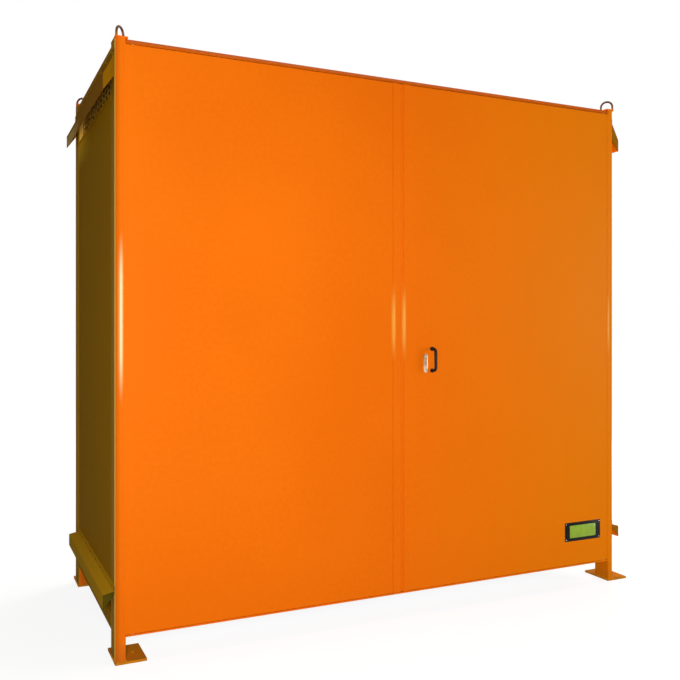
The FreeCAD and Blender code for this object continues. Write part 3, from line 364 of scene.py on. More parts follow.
def along(outline, step, height):
    """Places in even steps along a closed outline, each turned to run with it."""
    places = []
    for first, last in zip(outline, outline[1:] + outline[:1]):
        run = Vector(last) - Vector(first)
        count = max(1, round(run.length / step))
        turn = Matrix.Rotation(math.atan2(run.y, run.x), 4, "Z")
        for index in range(count):
            spot = Vector(first) + run * (index / count)
            places.append(Matrix.Translation((spot.x, spot.y, height)) @ turn)
    return places


def joined(pieces):
    """Several pieces joined into the first."""
    select_only(pieces[0])
    for piece in pieces[1:]:
        piece.select_set(True)
    bpy.ops.object.join()
    return pieces[0]


def spread(pattern, places):
    """Copies of one modelled pattern at many places, each with its own mesh, joined into one piece."""
    copies = []
    for place in places:
        copy = pattern.copy()
        copy.data = pattern.data.copy()
        copy.data.transform(place)
        bpy.context.scene.collection.objects.link(copy)
        copies.append(copy)
    bpy.data.objects.remove(pattern)
    return joined(copies)


def fit(piece, name, material, body, slot, *stands_for):
    """Name a finished piece, give it its finish, and let it ride on its body and stand for CAD nodes."""
    select_only(piece)
    bpy.ops.object.transform_apply(location=True, rotation=True, scale=True)
    bpy.ops.object.shade_smooth_by_angle(angle=SMOOTH_ANGLE)
    piece.name = name
    piece.data.name = name
    piece.data.materials.clear()
    piece.data.materials.append(material)
    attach(piece, body)
    if stands_for:
        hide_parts(*stands_for)


def leg_outline(post):
    """The plan of a leg, anticlockwise, with the wide outer corner of a front leg as an arc."""
    low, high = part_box(post)
    corners = [(low.x, low.y), (high.x, low.y), (high.x, high.y), (low.x, high.y)]
    if "front" not in post:
        return corners
    at_left = "left" in post
    centre_x = low.x + POST_CORNER if at_left else high.x - POST_CORNER
    arc = []
    for index in range(CORNER_STEPS + 1):
        angle = math.pi + index / CORNER_STEPS * math.pi / 2 + (0.0 if at_left else math.pi / 2)
        arc_x = centre_x + POST_CORNER * math.cos(angle)
        arc_y = low.y + POST_CORNER * (1 + math.sin(angle))
        arc.append((arc_x, arc_y))
    return arc + corners[1:] if at_left else corners[:1] + arc + corners[2:]


plate_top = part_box("front_left_post")[0].z
leg_welds = []
for post in POSTS:
    leg_welds += along(leg_outline(post), BEAD_STEP, plate_top + BEAD_LIFT)
shaded_foot_enamel = enamel("shaded_foot_enamel", (FOOT_SHADE_DEEP, FOOT_SHADE_LIGHT, FOOT_SHADE_LIGHT), 0.04, 0.75)
fit(spread(weld_ripple(BEAD), leg_welds), "leg_welds", shaded_foot_enamel, "frame", "orange_paint")
dress(shaded_foot_enamel, "foot_plates")

# Door frame: a hollow header with a sloped front edge above the doors and a flat sill below them, with
# box beams behind both and flat stops at the sides. The header is painted a darker orange as painted
# shade.
# Painted shade: a darker orange for the header.
HEADER_SHADE_DEEP = (0.60, 0.105, 0.0024, 1.0)
HEADER_SHADE_LIGHT = (0.66, 0.120, 0.0030, 1.0)
shaded_header_enamel = enamel("shaded_header_enamel", (HEADER_SHADE_DEEP, HEADER_SHADE_LIGHT, HEADER_SHADE_LIGHT), 0.04, 0.65)
side_enamel = enamel("side_enamel", ORANGE, 0.04, 0.75)
dress(shaded_header_enamel, "front_header")
dress(side_enamel, "door_sill", "header_beam", "sill_beam", "jamb_stops")

# Door seal: four lengths of half-round black rubber, glued to the stops and beams with the crown towards
# the doors. The rubber is dull, with a grey bloom.
RUBBER_BLACK = (0.010, 0.010, 0.010, 1.0)
RUBBER_BLOOM = (0.026, 0.026, 0.025, 1.0)
SEAL_WIDTH = 0.016
rubber, rubber_skin = new_finish("black_rubber", {"Specular IOR Level": 0.25})
bloom = rubber_skin.noise(scale=30.0, detail=4.0).rise(0.35, 0.75)
lay_on(rubber, {
    "Base Color": bloom.mix(RUBBER_BLACK, RUBBER_BLOOM),
    "Roughness": 0.62 + bloom * 0.2,
    "Normal": rubber_skin.noise(scale=900.0).bump(strength=0.1, distance=0.0005),
})


def half_round(first, last, width, height, crown):
    """A strip of D section between two points: a round bar cut in half along its length."""
    run = Vector(last) - Vector(first)
    start_piece()
    bpy.ops.mesh.primitive_cylinder_add(vertices=24, radius=0.5, depth=run.length)
    strip = bpy.context.object
    edit_all()
    bpy.ops.transform.resize(value=(width, 2 * height, 1.0))
    bpy.ops.mesh.bisect(plane_co=(0, 0, 0), plane_no=(0, 1, 0), clear_inner=True, use_fill=True)
    bpy.ops.object.mode_set(mode="OBJECT")
    forward = run.normalized()
    outward = Vector(crown)
    turn = Matrix((outward.cross(forward), outward, forward)).transposed().to_4x4()
    strip.data.transform(Matrix.Translation((Vector(first) + Vector(last)) / 2) @ turn)
    return strip


seal_low, seal_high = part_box("door_seal")
seal_rise = seal_high.y - seal_low.y
seal_left = seal_low.x + SEAL_WIDTH / 2
seal_right = seal_high.x - SEAL_WIDTH / 2
seal_foot = seal_low.z + SEAL_WIDTH / 2
seal_head = seal_high.z - SEAL_WIDTH / 2
seal_runs = [
    ((seal_low.x, seal_high.y, seal_foot), (seal_high.x, seal_high.y, seal_foot)),
    ((seal_low.x, seal_high.y, seal_head), (seal_high.x, seal_high.y, seal_head)),
    ((seal_left, seal_high.y, seal_foot), (seal_left, seal_high.y, seal_head)),
    ((seal_right, seal_high.y, seal_foot), (seal_right, seal_high.y, seal_head)),
]
seal_strips = [half_round(first, last, SEAL_WIDTH, seal_rise, (0, -1, 0)) for first, last in seal_runs]
fit(joined(seal_strips), "door_seal_bulb", rubber, "frame", "black_rubber", "door_seal")

# Gap covers: thin flat steel strips on the fronts of the posts, lapping over the heels of the doors to
# keep the rain out of the pivot gaps. Each is joggled to stand just clear of the door, and painted like
# it, with a painted highlight, a paler tone in a band of heights, along the right one's inner edge.
COVER_BACK = 0.012
COVER_LAP = 0.008
COVER_THICK = 0.0012
COVER_CLEAR = 0.0004
COVER_EDGE = 0.0003
# Painted highlights on the doors: their band of heights, places and half-widths at the edges.
DOOR_HIGHLIGHT_HEIGHT = (1.40, 1.60, 1.66, 1.86)
POST_EDGE_HIGHLIGHT = 0.010
STRIP_HIGHLIGHT_IN = 0.002
STRIP_HIGHLIGHT_HALF = 0.017
DOOR_SHINE = 0.15


def block(size, middle):
    """A box of that size round a middle, to start a piece from."""
    start_piece()
    bpy.ops.mesh.primitive_cube_add(size=1.0)
    edit_all()
    bpy.ops.transform.resize(value=size)
    bpy.ops.transform.translate(value=middle)
    bpy.ops.object.mode_set(mode="OBJECT")
    return bpy.context.object


def pick_faces(piece, wanted):
    """Go into edit mode with the faces selected that pass a test of their centre and normal."""
    bpy.ops.object.mode_set(mode="EDIT")
    bpy.ops.mesh.select_mode(type="FACE")
    bpy.ops.mesh.select_all(action="DESELECT")
    bpy.ops.object.mode_set(mode="OBJECT")
    for face in piece.data.polygons:
        face.select = wanted(face.center, face.normal)
    bpy.ops.object.mode_set(mode="EDIT")


def round_edges(piece, width, segments=2):
    """Round the sharp edges of a piece."""
    edge = piece.modifiers.new("edge", "BEVEL")
    edge.width = width
    edge.segments = segments
    edge.limit_method = "ANGLE"
    select_only(piece)
    bpy.ops.object.modifier_apply(modifier="edge")


def gap_cover(post_edge, towards, leaf_low, leaf_high):
    """A flat strip along the inner edge of a post, its lapping half moved forward by the clearance."""
    middle = (
        post_edge + towards * (COVER_LAP - COVER_BACK) / 2,
        leaf_low.y - COVER_THICK / 2,
        (leaf_low.z + leaf_high.z) / 2,
    )
    cover = block((COVER_BACK + COVER_LAP, COVER_THICK, leaf_high.z - leaf_low.z), middle)
    edit_all()
    bpy.ops.mesh.bisect(plane_co=(post_edge, 0, 0), plane_no=(1, 0, 0))
    pick_faces(cover, lambda centre, normal: towards * (centre.x - post_edge) > 0.25 * COVER_LAP)
    bpy.ops.transform.translate(value=(0, -COVER_CLEAR, 0))
    bpy.ops.object.mode_set(mode="OBJECT")
    return cover


left_low, left_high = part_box("left_leaf_pan")
left_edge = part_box("front_left_post")[1].x
right_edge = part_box("front_right_post")[0].x
# Painted highlights along the right post's inner edge and the closing strips' left edges.
door_highlights = [(right_edge, POST_EDGE_HIGHLIGHT)]
for strip in ("left_closing_strip", "right_closing_strip"):
    door_highlights.append((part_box(strip)[0].x + STRIP_HIGHLIGHT_IN, STRIP_HIGHLIGHT_HALF))
front_enamel = enamel("front_enamel", ORANGE, 0.03, 0.38, (), door_highlights, DOOR_HIGHLIGHT_HEIGHT, DOOR_SHINE)
gap_covers = joined([
    gap_cover(left_edge, 1, left_low, left_high),
    gap_cover(right_edge, -1, left_low, left_high),
])
round_edges(gap_covers, COVER_EDGE, 1)
fit(gap_covers, "gap_covers", front_enamel, "frame", "orange_paint")

# Pivots: turned steel pins under and over each door, in pressed-in bronze bushes of the sill and the
# header. The turned steel keeps its fine tool lines and the bronze is a little tarnished.
STEEL_BRIGHT = (0.58, 0.58, 0.59, 1.0)
STEEL_OILED = (0.42, 0.41, 0.40, 1.0)
BRONZE_FRESH = (0.55, 0.31, 0.11, 1.0)
BRONZE_TARNISHED = (0.28, 0.16, 0.07, 1.0)
bright, turned = new_finish("bright_steel", {"Metallic": 1.0})
tool_lines = turned.noise(scale=160.0, squeeze=(1.0, 1.0, 12.0))
oil = turned.noise(scale=25.0, detail=3.0).rise(0.4, 0.7)
lay_on(bright, {
    "Base Color": oil.mix(STEEL_BRIGHT, STEEL_OILED),
    "Roughness": 0.20 + tool_lines * 0.2 + oil * 0.1,
})
bronze, bronze_skin = new_finish("bronze", {"Metallic": 1.0})
tarnish = bronze_skin.noise(scale=120.0, detail=4.0).rise(0.35, 0.7)
lay_on(bronze, {
    "Base Color": tarnish.mix(BRONZE_FRESH, BRONZE_TARNISHED),
    "Roughness": 0.28 + tarnish * 0.25,
})
dress(bright, "left_pivot_pins", "right_pivot_pins")
dress(bronze, "pivot_bushes")

# Door leaves: folded sheet pans with a flat liner riveted on behind and box rails between them, painted
# like the frame. The rivets are pulled through the liner's edges every 150 mm and painted over.
RIVET = 0.0042
RIVET_FLAT = 0.5
RIVET_STEP = 0.15
RIVET_EDGE = 0.008
RIVET_ENDS = 0.10
FACING = {
    "left": Matrix.Rotation(-math.pi / 2, 4, "Y"),
    "right": Matrix.Rotation(math.pi / 2, 4, "Y"),
    "front": Matrix.Rotation(math.pi / 2, 4, "X"),
    "back": Matrix.Rotation(-math.pi / 2, 4, "X"),
    "up": Matrix.Identity(4),
}


def at(x, y, z, facing="up"):
    """The place of a small piece on a face that looks one way."""
    return Matrix.Translation((x, y, z)) @ FACING[facing]


def row(first, last, step):
    """Values in even steps, close to the wanted one, from first to last."""
    count = max(1, round((last - first) / step))
    return [first + (last - first) * index / count for index in range(count + 1)]


def dome_rivet(radius):
    """A low round rivet head: half a ball, flattened."""
    start_piece()
    bpy.ops.mesh.primitive_uv_sphere_add(segments=12, ring_count=6, radius=radius)
    rivet = bpy.context.object
    edit_all()
    bpy.ops.mesh.bisect(plane_co=(0, 0, 0), plane_no=(0, 0, 1), clear_inner=True, use_fill=True)
    bpy.ops.mesh.select_all(action="SELECT")
    bpy.ops.transform.resize(value=(1.0, 1.0, RIVET_FLAT), center_override=(0, 0, 0))
    bpy.ops.object.mode_set(mode="OBJECT")
    return rivet


for side in ("left", "right"):
    liner_low, liner_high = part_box(f"{side}_leaf_liner")
    rivet_places = []
    for x in (liner_low.x + RIVET_EDGE, liner_high.x - RIVET_EDGE):
        for z in row(liner_low.z + RIVET_ENDS, liner_high.z - RIVET_ENDS, RIVET_STEP):
            rivet_places.append(at(x, liner_high.y, z, "back"))
    rivets = spread(dome_rivet(RIVET), rivet_places)
    fit(rivets, f"{side}_liner_rivets", front_enamel, f"{side}_leaf", "orange_paint")
    dress(front_enamel, f"{side}_leaf_pan", f"{side}_leaf_liner")
    dress(side_enamel, f"{side}_leaf_rails")

# Closing edges: flat bars with rounded edges, welded up the fronts of both leaves, and a rubber strip in
# the gap between them.
dress(front_enamel, "left_closing_strip", "right_closing_strip")
dress(rubber, "meeting_seal")

# Meeting lip: a flat steel strip in the colour of the doors, on the edge of the left leaf just behind its
# front. It all but closes the gap between the leaves.
LIP_CLEAR = 0.0004
LIP_SETBACK = 0.0016
LIP_DEPTH = 0.007
LIP_EDGE = 0.0004
right_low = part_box("right_leaf_pan")[0]
lip_width = right_low.x - left_high.x - LIP_CLEAR
lip_middle = (
    left_high.x + lip_width / 2,
    left_low.y + LIP_SETBACK + LIP_DEPTH / 2,
    (left_low.z + left_high.z) / 2,
)
meeting_lip = block((lip_width, LIP_DEPTH, left_high.z - left_low.z), lip_middle)
round_edges(meeting_lip, LIP_EDGE, 1)
fit(meeting_lip, "meeting_lip", front_enamel, "left_leaf", "orange_paint")

# Shoot bolts: round steel rods in galvanised guides on the left leaf, moved by a crank disc under the
# liner and a black lever, which is held to its spindle by a socket-head screw.
ZINC_DARK = (0.17, 0.18, 0.19, 1.0)
ZINC_LIGHT = (0.33, 0.34, 0.345, 1.0)
GRIP_BLACK = (0.006, 0.006, 0.005, 1.0)
GRIP_RUBBED = (0.014, 0.013, 0.011, 1.0)
LEVER_SCREW = {"radius": 0.0055, "height": 0.0045}


def galvanised(name, dark, light):
    """Hot-dip zinc: a spangle of flakes, each with its own tone and gloss, under a cloudy bloom."""
    finish, coat = new_finish(name, {"Metallic": 1.0})
    spangle = coat.add("ShaderNodeTexVoronoi", None, {"Vector": coat.spot(), "Scale": 70.0}, "Color")
    flake = coat.add("ShaderNodeSeparateColor", None, {"Color": spangle})
    tone = flake * 0.6 + coat.noise(scale=6.0, detail=4.0) * 0.5
    lay_on(finish, {"Base Color": tone.rise(0.1, 0.9).mix(dark, light), "Roughness": 0.40 + flake * 0.18})
    return finish


def stub(sides, radius, height, foot=0.0):
    """A short upright bar of so many sides, standing at the height of its foot, to start a piece from."""
    start_piece()
    middle = (0, 0, foot + height / 2)
    bpy.ops.mesh.primitive_cylinder_add(vertices=sides, radius=radius, depth=height, location=middle)
    bpy.ops.object.transform_apply(location=True, rotation=False, scale=False)
    return bpy.context.object


def cut_out(piece, tool):
    """Cut the shape of a tool out of a piece and take the tool away."""
    cut = piece.modifiers.new("cut", "BOOLEAN")
    cut.object = tool
    select_only(piece)
    bpy.ops.object.modifier_apply(modifier="cut")
    bpy.data.objects.remove(tool)


def socket_screw(radius, height):
    """A round screw head with rounded rim and a six-sided socket in its top."""
    screw = stub(24, radius, height)
    round_edges(screw, 0.25 * height)
    cut_out(screw, stub(6, 0.5 * radius, height, foot=height / 2))
    return screw


zinc = galvanised("galvanised_steel", ZINC_DARK, ZINC_LIGHT)
grip, grip_skin = new_finish("black_grip", {"Specular IOR Level": 0.15})
grip_rubbed = grip_skin.noise(scale=35.0, detail=3.0).rise(0.4, 0.7)
lay_on(grip, {
    "Base Color": grip_rubbed.mix(GRIP_BLACK, GRIP_RUBBED),
    "Roughness": 0.55 - grip_rubbed * 0.12,
    "Normal": grip_skin.noise(scale=700.0).bump(strength=0.12, distance=0.0004),
})
joints = {joint["name"]: joint for joint in frame["record"]["behaviour"]["joints"]}
lever_x, _, lever_z = joints["bolt_lever_turn"]["pos_m"]
lever_screw = socket_screw(**LEVER_SCREW)
lever_screw.data.transform(at(lever_x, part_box("bolt_lever")[1].y, lever_z, "back"))
fit(lever_screw, "lever_screw", bright, "bolt_lever", "bright_steel")
dress(bright, "top_rod", "bottom_rod", "crank_disc")
dress(zinc, "rod_guides", "strike_plate")
dress(bronze, "lever_bush")
dress(grip, "bolt_lever")

# Lock: a deadbolt case let into the right leaf under a satin stainless cover plate, which is screwed on
# above and below the key barrel. The stainless is tinted warm as a painted reflection of the orange
# doors, with random smudges, and darker in its upper part as painted shade. A raised disc on the barrel
# is cut through for the key, over a dark floor.
# Painted reflection: a warm tint on the stainless; painted shade: darker from the next heights up.
SATIN_WARM_REFLECTION = (0.66, 0.47, 0.31, 1.0)
SATIN_SHADED = (0.30, 0.175, 0.090, 1.0)
SATIN_SHADE_FROM = (1.38, 1.44)
PLATE_CORNER = 0.012
PLATE_EDGE = 0.0012
PLATE_SCREW = {"radius": 0.0042, "height": 0.0014}
PLATE_SCREW_REACH = 0.038
BARREL_RADIUS = 0.008
BARREL_ROOM = 0.0002
BARREL_HOLE_DEPTH = 0.05
BARREL_FACE = {"radius": 0.0076, "height": 0.0006}
BARREL_FACE_EDGE = 0.00012
KEY_SLOT = (0.0016, 0.0090, 0.01)
SLOT_FLOOR = (0.0015, 0.0088, 0.0003)
SLOT_FLOOR_EDGE = 0.00005
satin, brushed = new_finish("satin_stainless", {"Metallic": 1.0})
brushing = brushed.noise(scale=90.0, squeeze=(40.0, 40.0, 1.0))
fingered = brushed.noise(scale=40.0, detail=3.0).rise(0.4, 0.7)
# Random smudges, and painted shade darker towards the top.
handled_and_shaded = fingered * 0.35 + brushed.place("Z").rise(*SATIN_SHADE_FROM) * 0.65
lay_on(satin, {
    "Base Color": handled_and_shaded.mix(SATIN_WARM_REFLECTION, SATIN_SHADED),
    "Roughness": 0.22 + brushing * 0.22 + handled_and_shaded * 0.06,
})


def rounded_plate(width, height, thick, corner, corner_steps):
    """A flat plate with rounded corners, lying on its back at the origin."""
    start_piece()
    bpy.ops.mesh.primitive_plane_add(size=1.0)
    plate = bpy.context.object
    edit_all()
    bpy.ops.transform.resize(value=(width, height, 1.0))
    bpy.ops.mesh.bevel(offset=corner, segments=corner_steps, affect="VERTICES")
    bpy.ops.mesh.select_all(action="SELECT")
    bpy.ops.mesh.extrude_region_move(TRANSFORM_OT_translate={"value": (0, 0, thick)})
    bpy.ops.mesh.select_all(action="SELECT")
    bpy.ops.mesh.normals_make_consistent(inside=False)
    bpy.ops.object.mode_set(mode="OBJECT")
    return plate


plate_low, plate_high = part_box("lock_escutcheon")
barrel_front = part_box("lock_plug")[0].y
lock_x = (plate_low.x + plate_high.x) / 2
lock_z = (plate_low.z + plate_high.z) / 2
plate_width = plate_high.x - plate_low.x
plate_height = plate_high.z - plate_low.z
lock_cover = rounded_plate(plate_width, plate_height, plate_high.y - plate_low.y, PLATE_CORNER, 8)
cut_out(lock_cover, stub(40, BARREL_RADIUS + BARREL_ROOM, BARREL_HOLE_DEPTH, foot=-BARREL_HOLE_DEPTH / 2))
round_edges(lock_cover, PLATE_EDGE)
lock_cover.data.transform(at(lock_x, plate_high.y, lock_z, "front"))
fit(lock_cover, "lock_cover", satin, "right_leaf", "satin_stainless", "lock_escutcheon")
plate_screws = [
    at(lock_x, plate_low.y, lock_z + upward * PLATE_SCREW_REACH, "front") for upward in (-1, 1)
]
cover_screws = spread(socket_screw(**PLATE_SCREW), plate_screws)
fit(cover_screws, "cover_screws", bright, "right_leaf", "bright_steel")

barrel_face = stub(32, **BARREL_FACE)
cut_out(barrel_face, block(KEY_SLOT, (0, 0, 0)))
round_edges(barrel_face, BARREL_FACE_EDGE)
barrel_face.data.transform(at(lock_x, barrel_front, lock_z, "front"))
fit(barrel_face, "barrel_face", satin, "lock_plug", "satin_stainless")
slot_floor = block(SLOT_FLOOR, (0, 0, 0))
round_edges(slot_floor, SLOT_FLOOR_EDGE)
slot_floor.data.transform(at(lock_x, barrel_front, lock_z, "front"))
fit(slot_floor, "key_slot_floor", grip, "lock_plug", "satin_stainless")
dress(satin, "lock_plug")
dress(bright, "lock_case", "deadbolt")

# Pull handle: a bent round bow with two foot discs, moulded in black over a steel core and bolted through
# the leaf from behind.
dress(grip, "pull_handle")

# Side walls: box rails between the posts with three smooth pressed cassettes between them, and galvanised
# grilles in the vent openings above and below, given a pale ochre as painted light against the shade
# under the hoods. The left side is painted a darker, yellower amber as painted shade, with its inner
# faces orange, and carries painted light, a pale glow, at its rear top under the upper hood.
# Painted shade: darker, yellower amber tones for the left side.
SHADED_AMBER_LIGHT = (0.49, 0.232, 0.0018, 1.0)
# Painted light: a pale glow tone.
PAINTED_LIGHT_AMBER = (1.00, 0.560, 0.020, 1.0)
SHADED_AMBER = (SHADED_AMBER_DEEP, SHADED_AMBER_LIGHT, SHADED_AMBER_LIGHT)
# Painted light: a pale ochre for the vent grilles, lighter than the wall against the hoods' shade.
GRILLE_LIT_DEEP = (0.60, 0.345, 0.030, 1.0)
GRILLE_LIT_LIGHT = (0.76, 0.450, 0.050, 1.0)
wall_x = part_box("left_wall")[0].x
wall_inside = patch_range("X", wall_x, 0.0004, 0.0011)
rail_inside = patch_range("X", post_x, 0.040, 0.048)
# Painted light: a pale glow on the left wall and rails near the rear top, under the upper hood.
painted_glow = (PAINTED_LIGHT_AMBER, ("Y", 0.0, rear_y), ("Z", 2.55, 2.70))
below_rail_top = ("Z", 2.80, 2.76)
rail_patches = [(*painted_glow, below_rail_top), (ORANGE_LIGHT, rail_inside)]
wall_patches = [painted_glow, (ORANGE_LIGHT, wall_inside)]
shaded_rail_enamel = enamel("shaded_rail_enamel", SHADED_AMBER, 0.02, 0.75, rail_patches)
shaded_wall_enamel = enamel("shaded_wall_enamel", SHADED_AMBER, 0.02, 0.75, wall_patches)
dress(shaded_rail_enamel, "left_side_rails")
dress(shaded_wall_enamel, "left_wall")
dress(side_enamel, "right_side_rails", "right_wall")
grille_finish, grille_skin = new_finish("pale_lit_zinc", {"Metallic": 0.2, "Specular IOR Level": 0.2})
weathering = grille_skin.noise(scale=40.0, detail=4.0).rise(0.3, 0.7)
lay_on(grille_finish, {
    "Base Color": weathering.mix(GRILLE_LIT_DEEP, GRILLE_LIT_LIGHT),
    "Roughness": 0.62 + weathering * 0.15,
})
dress(grille_finish, "left_vent_grilles", "right_vent_grilles")

# Vent hoods: folded sheet over the vent openings, screwed to the rails through their top flanges with
# self-drilling hexagon screws on wide washers. The left hoods are painted in darker, yellower tones as
# painted shade, the near cheeks of all hoods are painted darker as painted shade, and the left upper
# hood's lip carries painted light, a pale tone towards the rear.
# Painted shade: darker, yellower left hood tones and darker near cheeks; painted light for the lip.
UPPER_HOOD_SHADE = (0.36, 0.150, 0.0020, 1.0)
LOWER_HOOD_SHADE = (0.69, 0.370, 0.0120, 1.0)
LIP_PAINTED_LIGHT = (1.00, 0.640, 0.200, 1.0)
UPPER_CHEEK_SHADE = (0.25, 0.105, 0.0015, 1.0)
LOWER_CHEEK_SHADE = (0.080, 0.058, 0.004, 1.0)
RIGHT_CHEEK_SHADE = (0.36, 0.140, 0.003, 1.0)
HOOD_SHEET = 0.003
HOOD_SCREW_EDGE = 0.04
HOOD_SCREW_DROP = 0.015
HOOD_SCREW_STEP = 0.165
WASHER_RADIUS = 0.007
WASHER_THICK = 0.0012
WASHER_CHAMFER = 0.0004
HEXAGON = {"radius": 0.0046, "height": 0.0034}
HEXAGON_INSET = 0.0007
HEXAGON_CROWN = 0.0005


def facing_up(centre, normal):
    """Whether a face looks up."""
    return normal.z > 0.9


def washer_screw():
    """A hexagon screw head with chamfered top on a round washer."""
    washer = stub(14, WASHER_RADIUS, WASHER_THICK)
    pick_faces(washer, facing_up)
    bpy.ops.mesh.bevel(offset=WASHER_CHAMFER, segments=1)
    bpy.ops.object.mode_set(mode="OBJECT")
    head = stub(6, **HEXAGON, foot=WASHER_THICK)
    pick_faces(head, facing_up)
    bpy.ops.mesh.inset(thickness=HEXAGON_INSET)
    bpy.ops.transform.translate(value=(0, 0, HEXAGON_CROWN))
    bpy.ops.object.mode_set(mode="OBJECT")
    return joined([washer, head])


lip_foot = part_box("left_upper_hood")[0]
near_cheek = patch_range("Y", lip_foot.y, 0.0045, 0.0035)
lip_face = patch_range("X", lip_foot.x, 0.006, 0.002)
lip_height = patch_range("Z", lip_foot.z, 0.068, 0.040)
# Painted light at the rear of the left upper lip; painted shade on the near cheeks.
lip_light_patch = (LIP_PAINTED_LIGHT, ("Y", 0.0, rear_y - 0.05), lip_height, lip_face)
upper_patches = [lip_light_patch, (UPPER_CHEEK_SHADE, near_cheek)]
lower_patches = [(LOWER_CHEEK_SHADE, near_cheek)]
right_hood = enamel("right_hood", ORANGE, 0.04, 0.75, [(RIGHT_CHEEK_SHADE, near_cheek)])
hood_paints = {
    ("left", "upper"): enamel("left_upper_hood", (UPPER_HOOD_SHADE,) * 3, 0.02, 0.75, upper_patches),
    ("left", "lower"): enamel("left_lower_hood", (LOWER_HOOD_SHADE,) * 3, 0.02, 0.75, lower_patches),
    ("right", "upper"): right_hood,
    ("right", "lower"): right_hood,
}
for side in ("left", "right"):
    screw_places = []
    for level in ("upper", "lower"):
        hood_low, hood_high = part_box(f"{side}_{level}_hood")
        face_x = hood_high.x - HOOD_SHEET if side == "left" else hood_low.x + HOOD_SHEET
        for y in row(hood_low.y + HOOD_SCREW_EDGE, hood_high.y - HOOD_SCREW_EDGE, HOOD_SCREW_STEP):
            screw_places.append(at(face_x, y, hood_high.z - HOOD_SCREW_DROP, side))
        dress(hood_paints[side, level], f"{side}_{level}_hood")
    hood_screws = spread(washer_screw(), screw_places)
    fit(hood_screws, f"{side}_hood_screws", hood_paints[side, "upper"], "frame", "orange_paint")

# Rear: a box header and a box sill between the rear posts, with one ribbed steel sheet welded in between
# them. All of it is painted like the sides.
dress(side_enamel, "rear_header", "rear_sill", "rear_wall")

# Roof: a flat sheet screwed down to the rails and ribs, sealed against the front and rear headers with a
# bead of flexible grey sealant.
SEALANT_DARK = (0.10, 0.10, 0.10, 1.0)
SEALANT_LIGHT = (0.16, 0.16, 0.155, 1.0)
SEALANT_WIDTH = 0.012
SEALANT_RISE = 0.005
ROOF_SCREW_EDGE = 0.03
ROOF_SCREW_STEP = 0.2
ROOF_SCREW_END = 0.06
RIB_HALF = 0.02
sealant, sealant_skin = new_finish("sealant", {"Specular IOR Level": 0.3})
lumps = sealant_skin.noise(scale=60.0, detail=3.0)
lay_on(sealant, {
    "Base Color": lumps.rise(0.3, 0.7).mix(SEALANT_DARK, SEALANT_LIGHT),
    "Roughness": 0.45 + lumps * 0.2,
    "Normal": lumps.bump(strength=0.4, distance=0.002),
})
roof_low, roof_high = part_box("roof_sheet")
ribs_low, ribs_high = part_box("roof_ribs")
bead_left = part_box("front_header")[0].x
bead_right, header_back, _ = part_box("front_header")[1]
rear_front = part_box("rear_header")[0].y
roof_beads = []
for y in (header_back + SEALANT_RISE, rear_front - SEALANT_RISE):
    bead_ends = (bead_left, y, roof_high.z), (bead_right, y, roof_high.z)
    roof_beads.append(half_round(*bead_ends, SEALANT_WIDTH, SEALANT_RISE, (0, 0, 1)))
fit(joined(roof_beads), "roof_sealant", sealant, "frame", "black_rubber")
rail_lines = [roof_low.x + ROOF_SCREW_EDGE, roof_high.x - ROOF_SCREW_EDGE]
rib_lines = row(ribs_low.x + RIB_HALF, ribs_high.x - RIB_HALF, (ribs_high.x - ribs_low.x) / 2)
screw_places = []
for x in rail_lines + rib_lines:
    for y in row(roof_low.y + ROOF_SCREW_END, roof_high.y - ROOF_SCREW_END, ROOF_SCREW_STEP):
        screw_places.append(at(x, y, roof_high.z))
fit(spread(washer_screw(), screw_places), "roof_screws", side_enamel, "frame", "orange_paint")
dress(side_enamel, "roof_sheet", "roof_ribs")

# Crane lugs: bent round steel bars welded on plates over the posts, each foot ringed by a small weld.
# They are a dark brown with darker random patches, and darker towards their crowns.
LUG_PAINT = (0.30, 0.095, 0.010, 1.0)
LUG_DARKEST = (0.10, 0.035, 0.012, 1.0)
LUG_DARKER_FROM = (2.99, 3.05)
LUG_CENTRE = (0.028, 0.037)
LUG_SPAN = 0.070
LUG_BAR = 0.006
LUG_BEAD = 0.003
LUG_RING_STEPS = 14
lug_finish, lug_skin = new_finish("lug_paint", {"Specular IOR Level": 0.25})
lug_crown = lug_skin.place("Z").rise(*LUG_DARKER_FROM)
lug_darkening = (lug_skin.noise(scale=70.0, detail=4.0) + lug_crown * 0.25).rise(0.45, 0.75)
lay_on(lug_finish, {
    "Base Color": lug_darkening.mix(LUG_PAINT, LUG_DARKEST),
    "Roughness": 0.45 + lug_darkening * 0.2,
})
far_x, far_y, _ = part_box("rear_right_post")[1]
lug_plate_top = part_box("lug_plates")[1].z
lug_turn = math.atan2(LUG_CENTRE[1], LUG_CENTRE[0])
lug_rings = []
for across, centre_x in ((-1, post_x + LUG_CENTRE[0]), (1, far_x - LUG_CENTRE[0])):
    for deep, centre_y in ((-1, post_y + LUG_CENTRE[1]), (1, far_y - LUG_CENTRE[1])):
        for end in (-1, 1):
            foot_x = centre_x + end * LUG_SPAN / 2 * math.cos(lug_turn) * across
            foot_y = centre_y + end * LUG_SPAN / 2 * math.sin(lug_turn) * deep
            ring = []
            for index in range(LUG_RING_STEPS):
                angle = index / LUG_RING_STEPS * 2 * math.pi
                ring.append((foot_x + LUG_BAR * math.cos(angle), foot_y + LUG_BAR * math.sin(angle)))
            lug_rings += along(ring, BEAD_STEP, lug_plate_top + BEAD_LIFT)
fit(spread(weld_ripple(LUG_BEAD), lug_rings), "lug_welds", side_enamel, "frame", "orange_paint")
dress(side_enamel, "lug_plates")
dress(lug_finish, "crane_lugs")

# Sump tray: a shallow steel tray welded between the rails, with two bearers across it for the floor. Both
# are hot-dip galvanised with a visible spangle.
dress(zinc, "sump_tray", "floor_bearers")

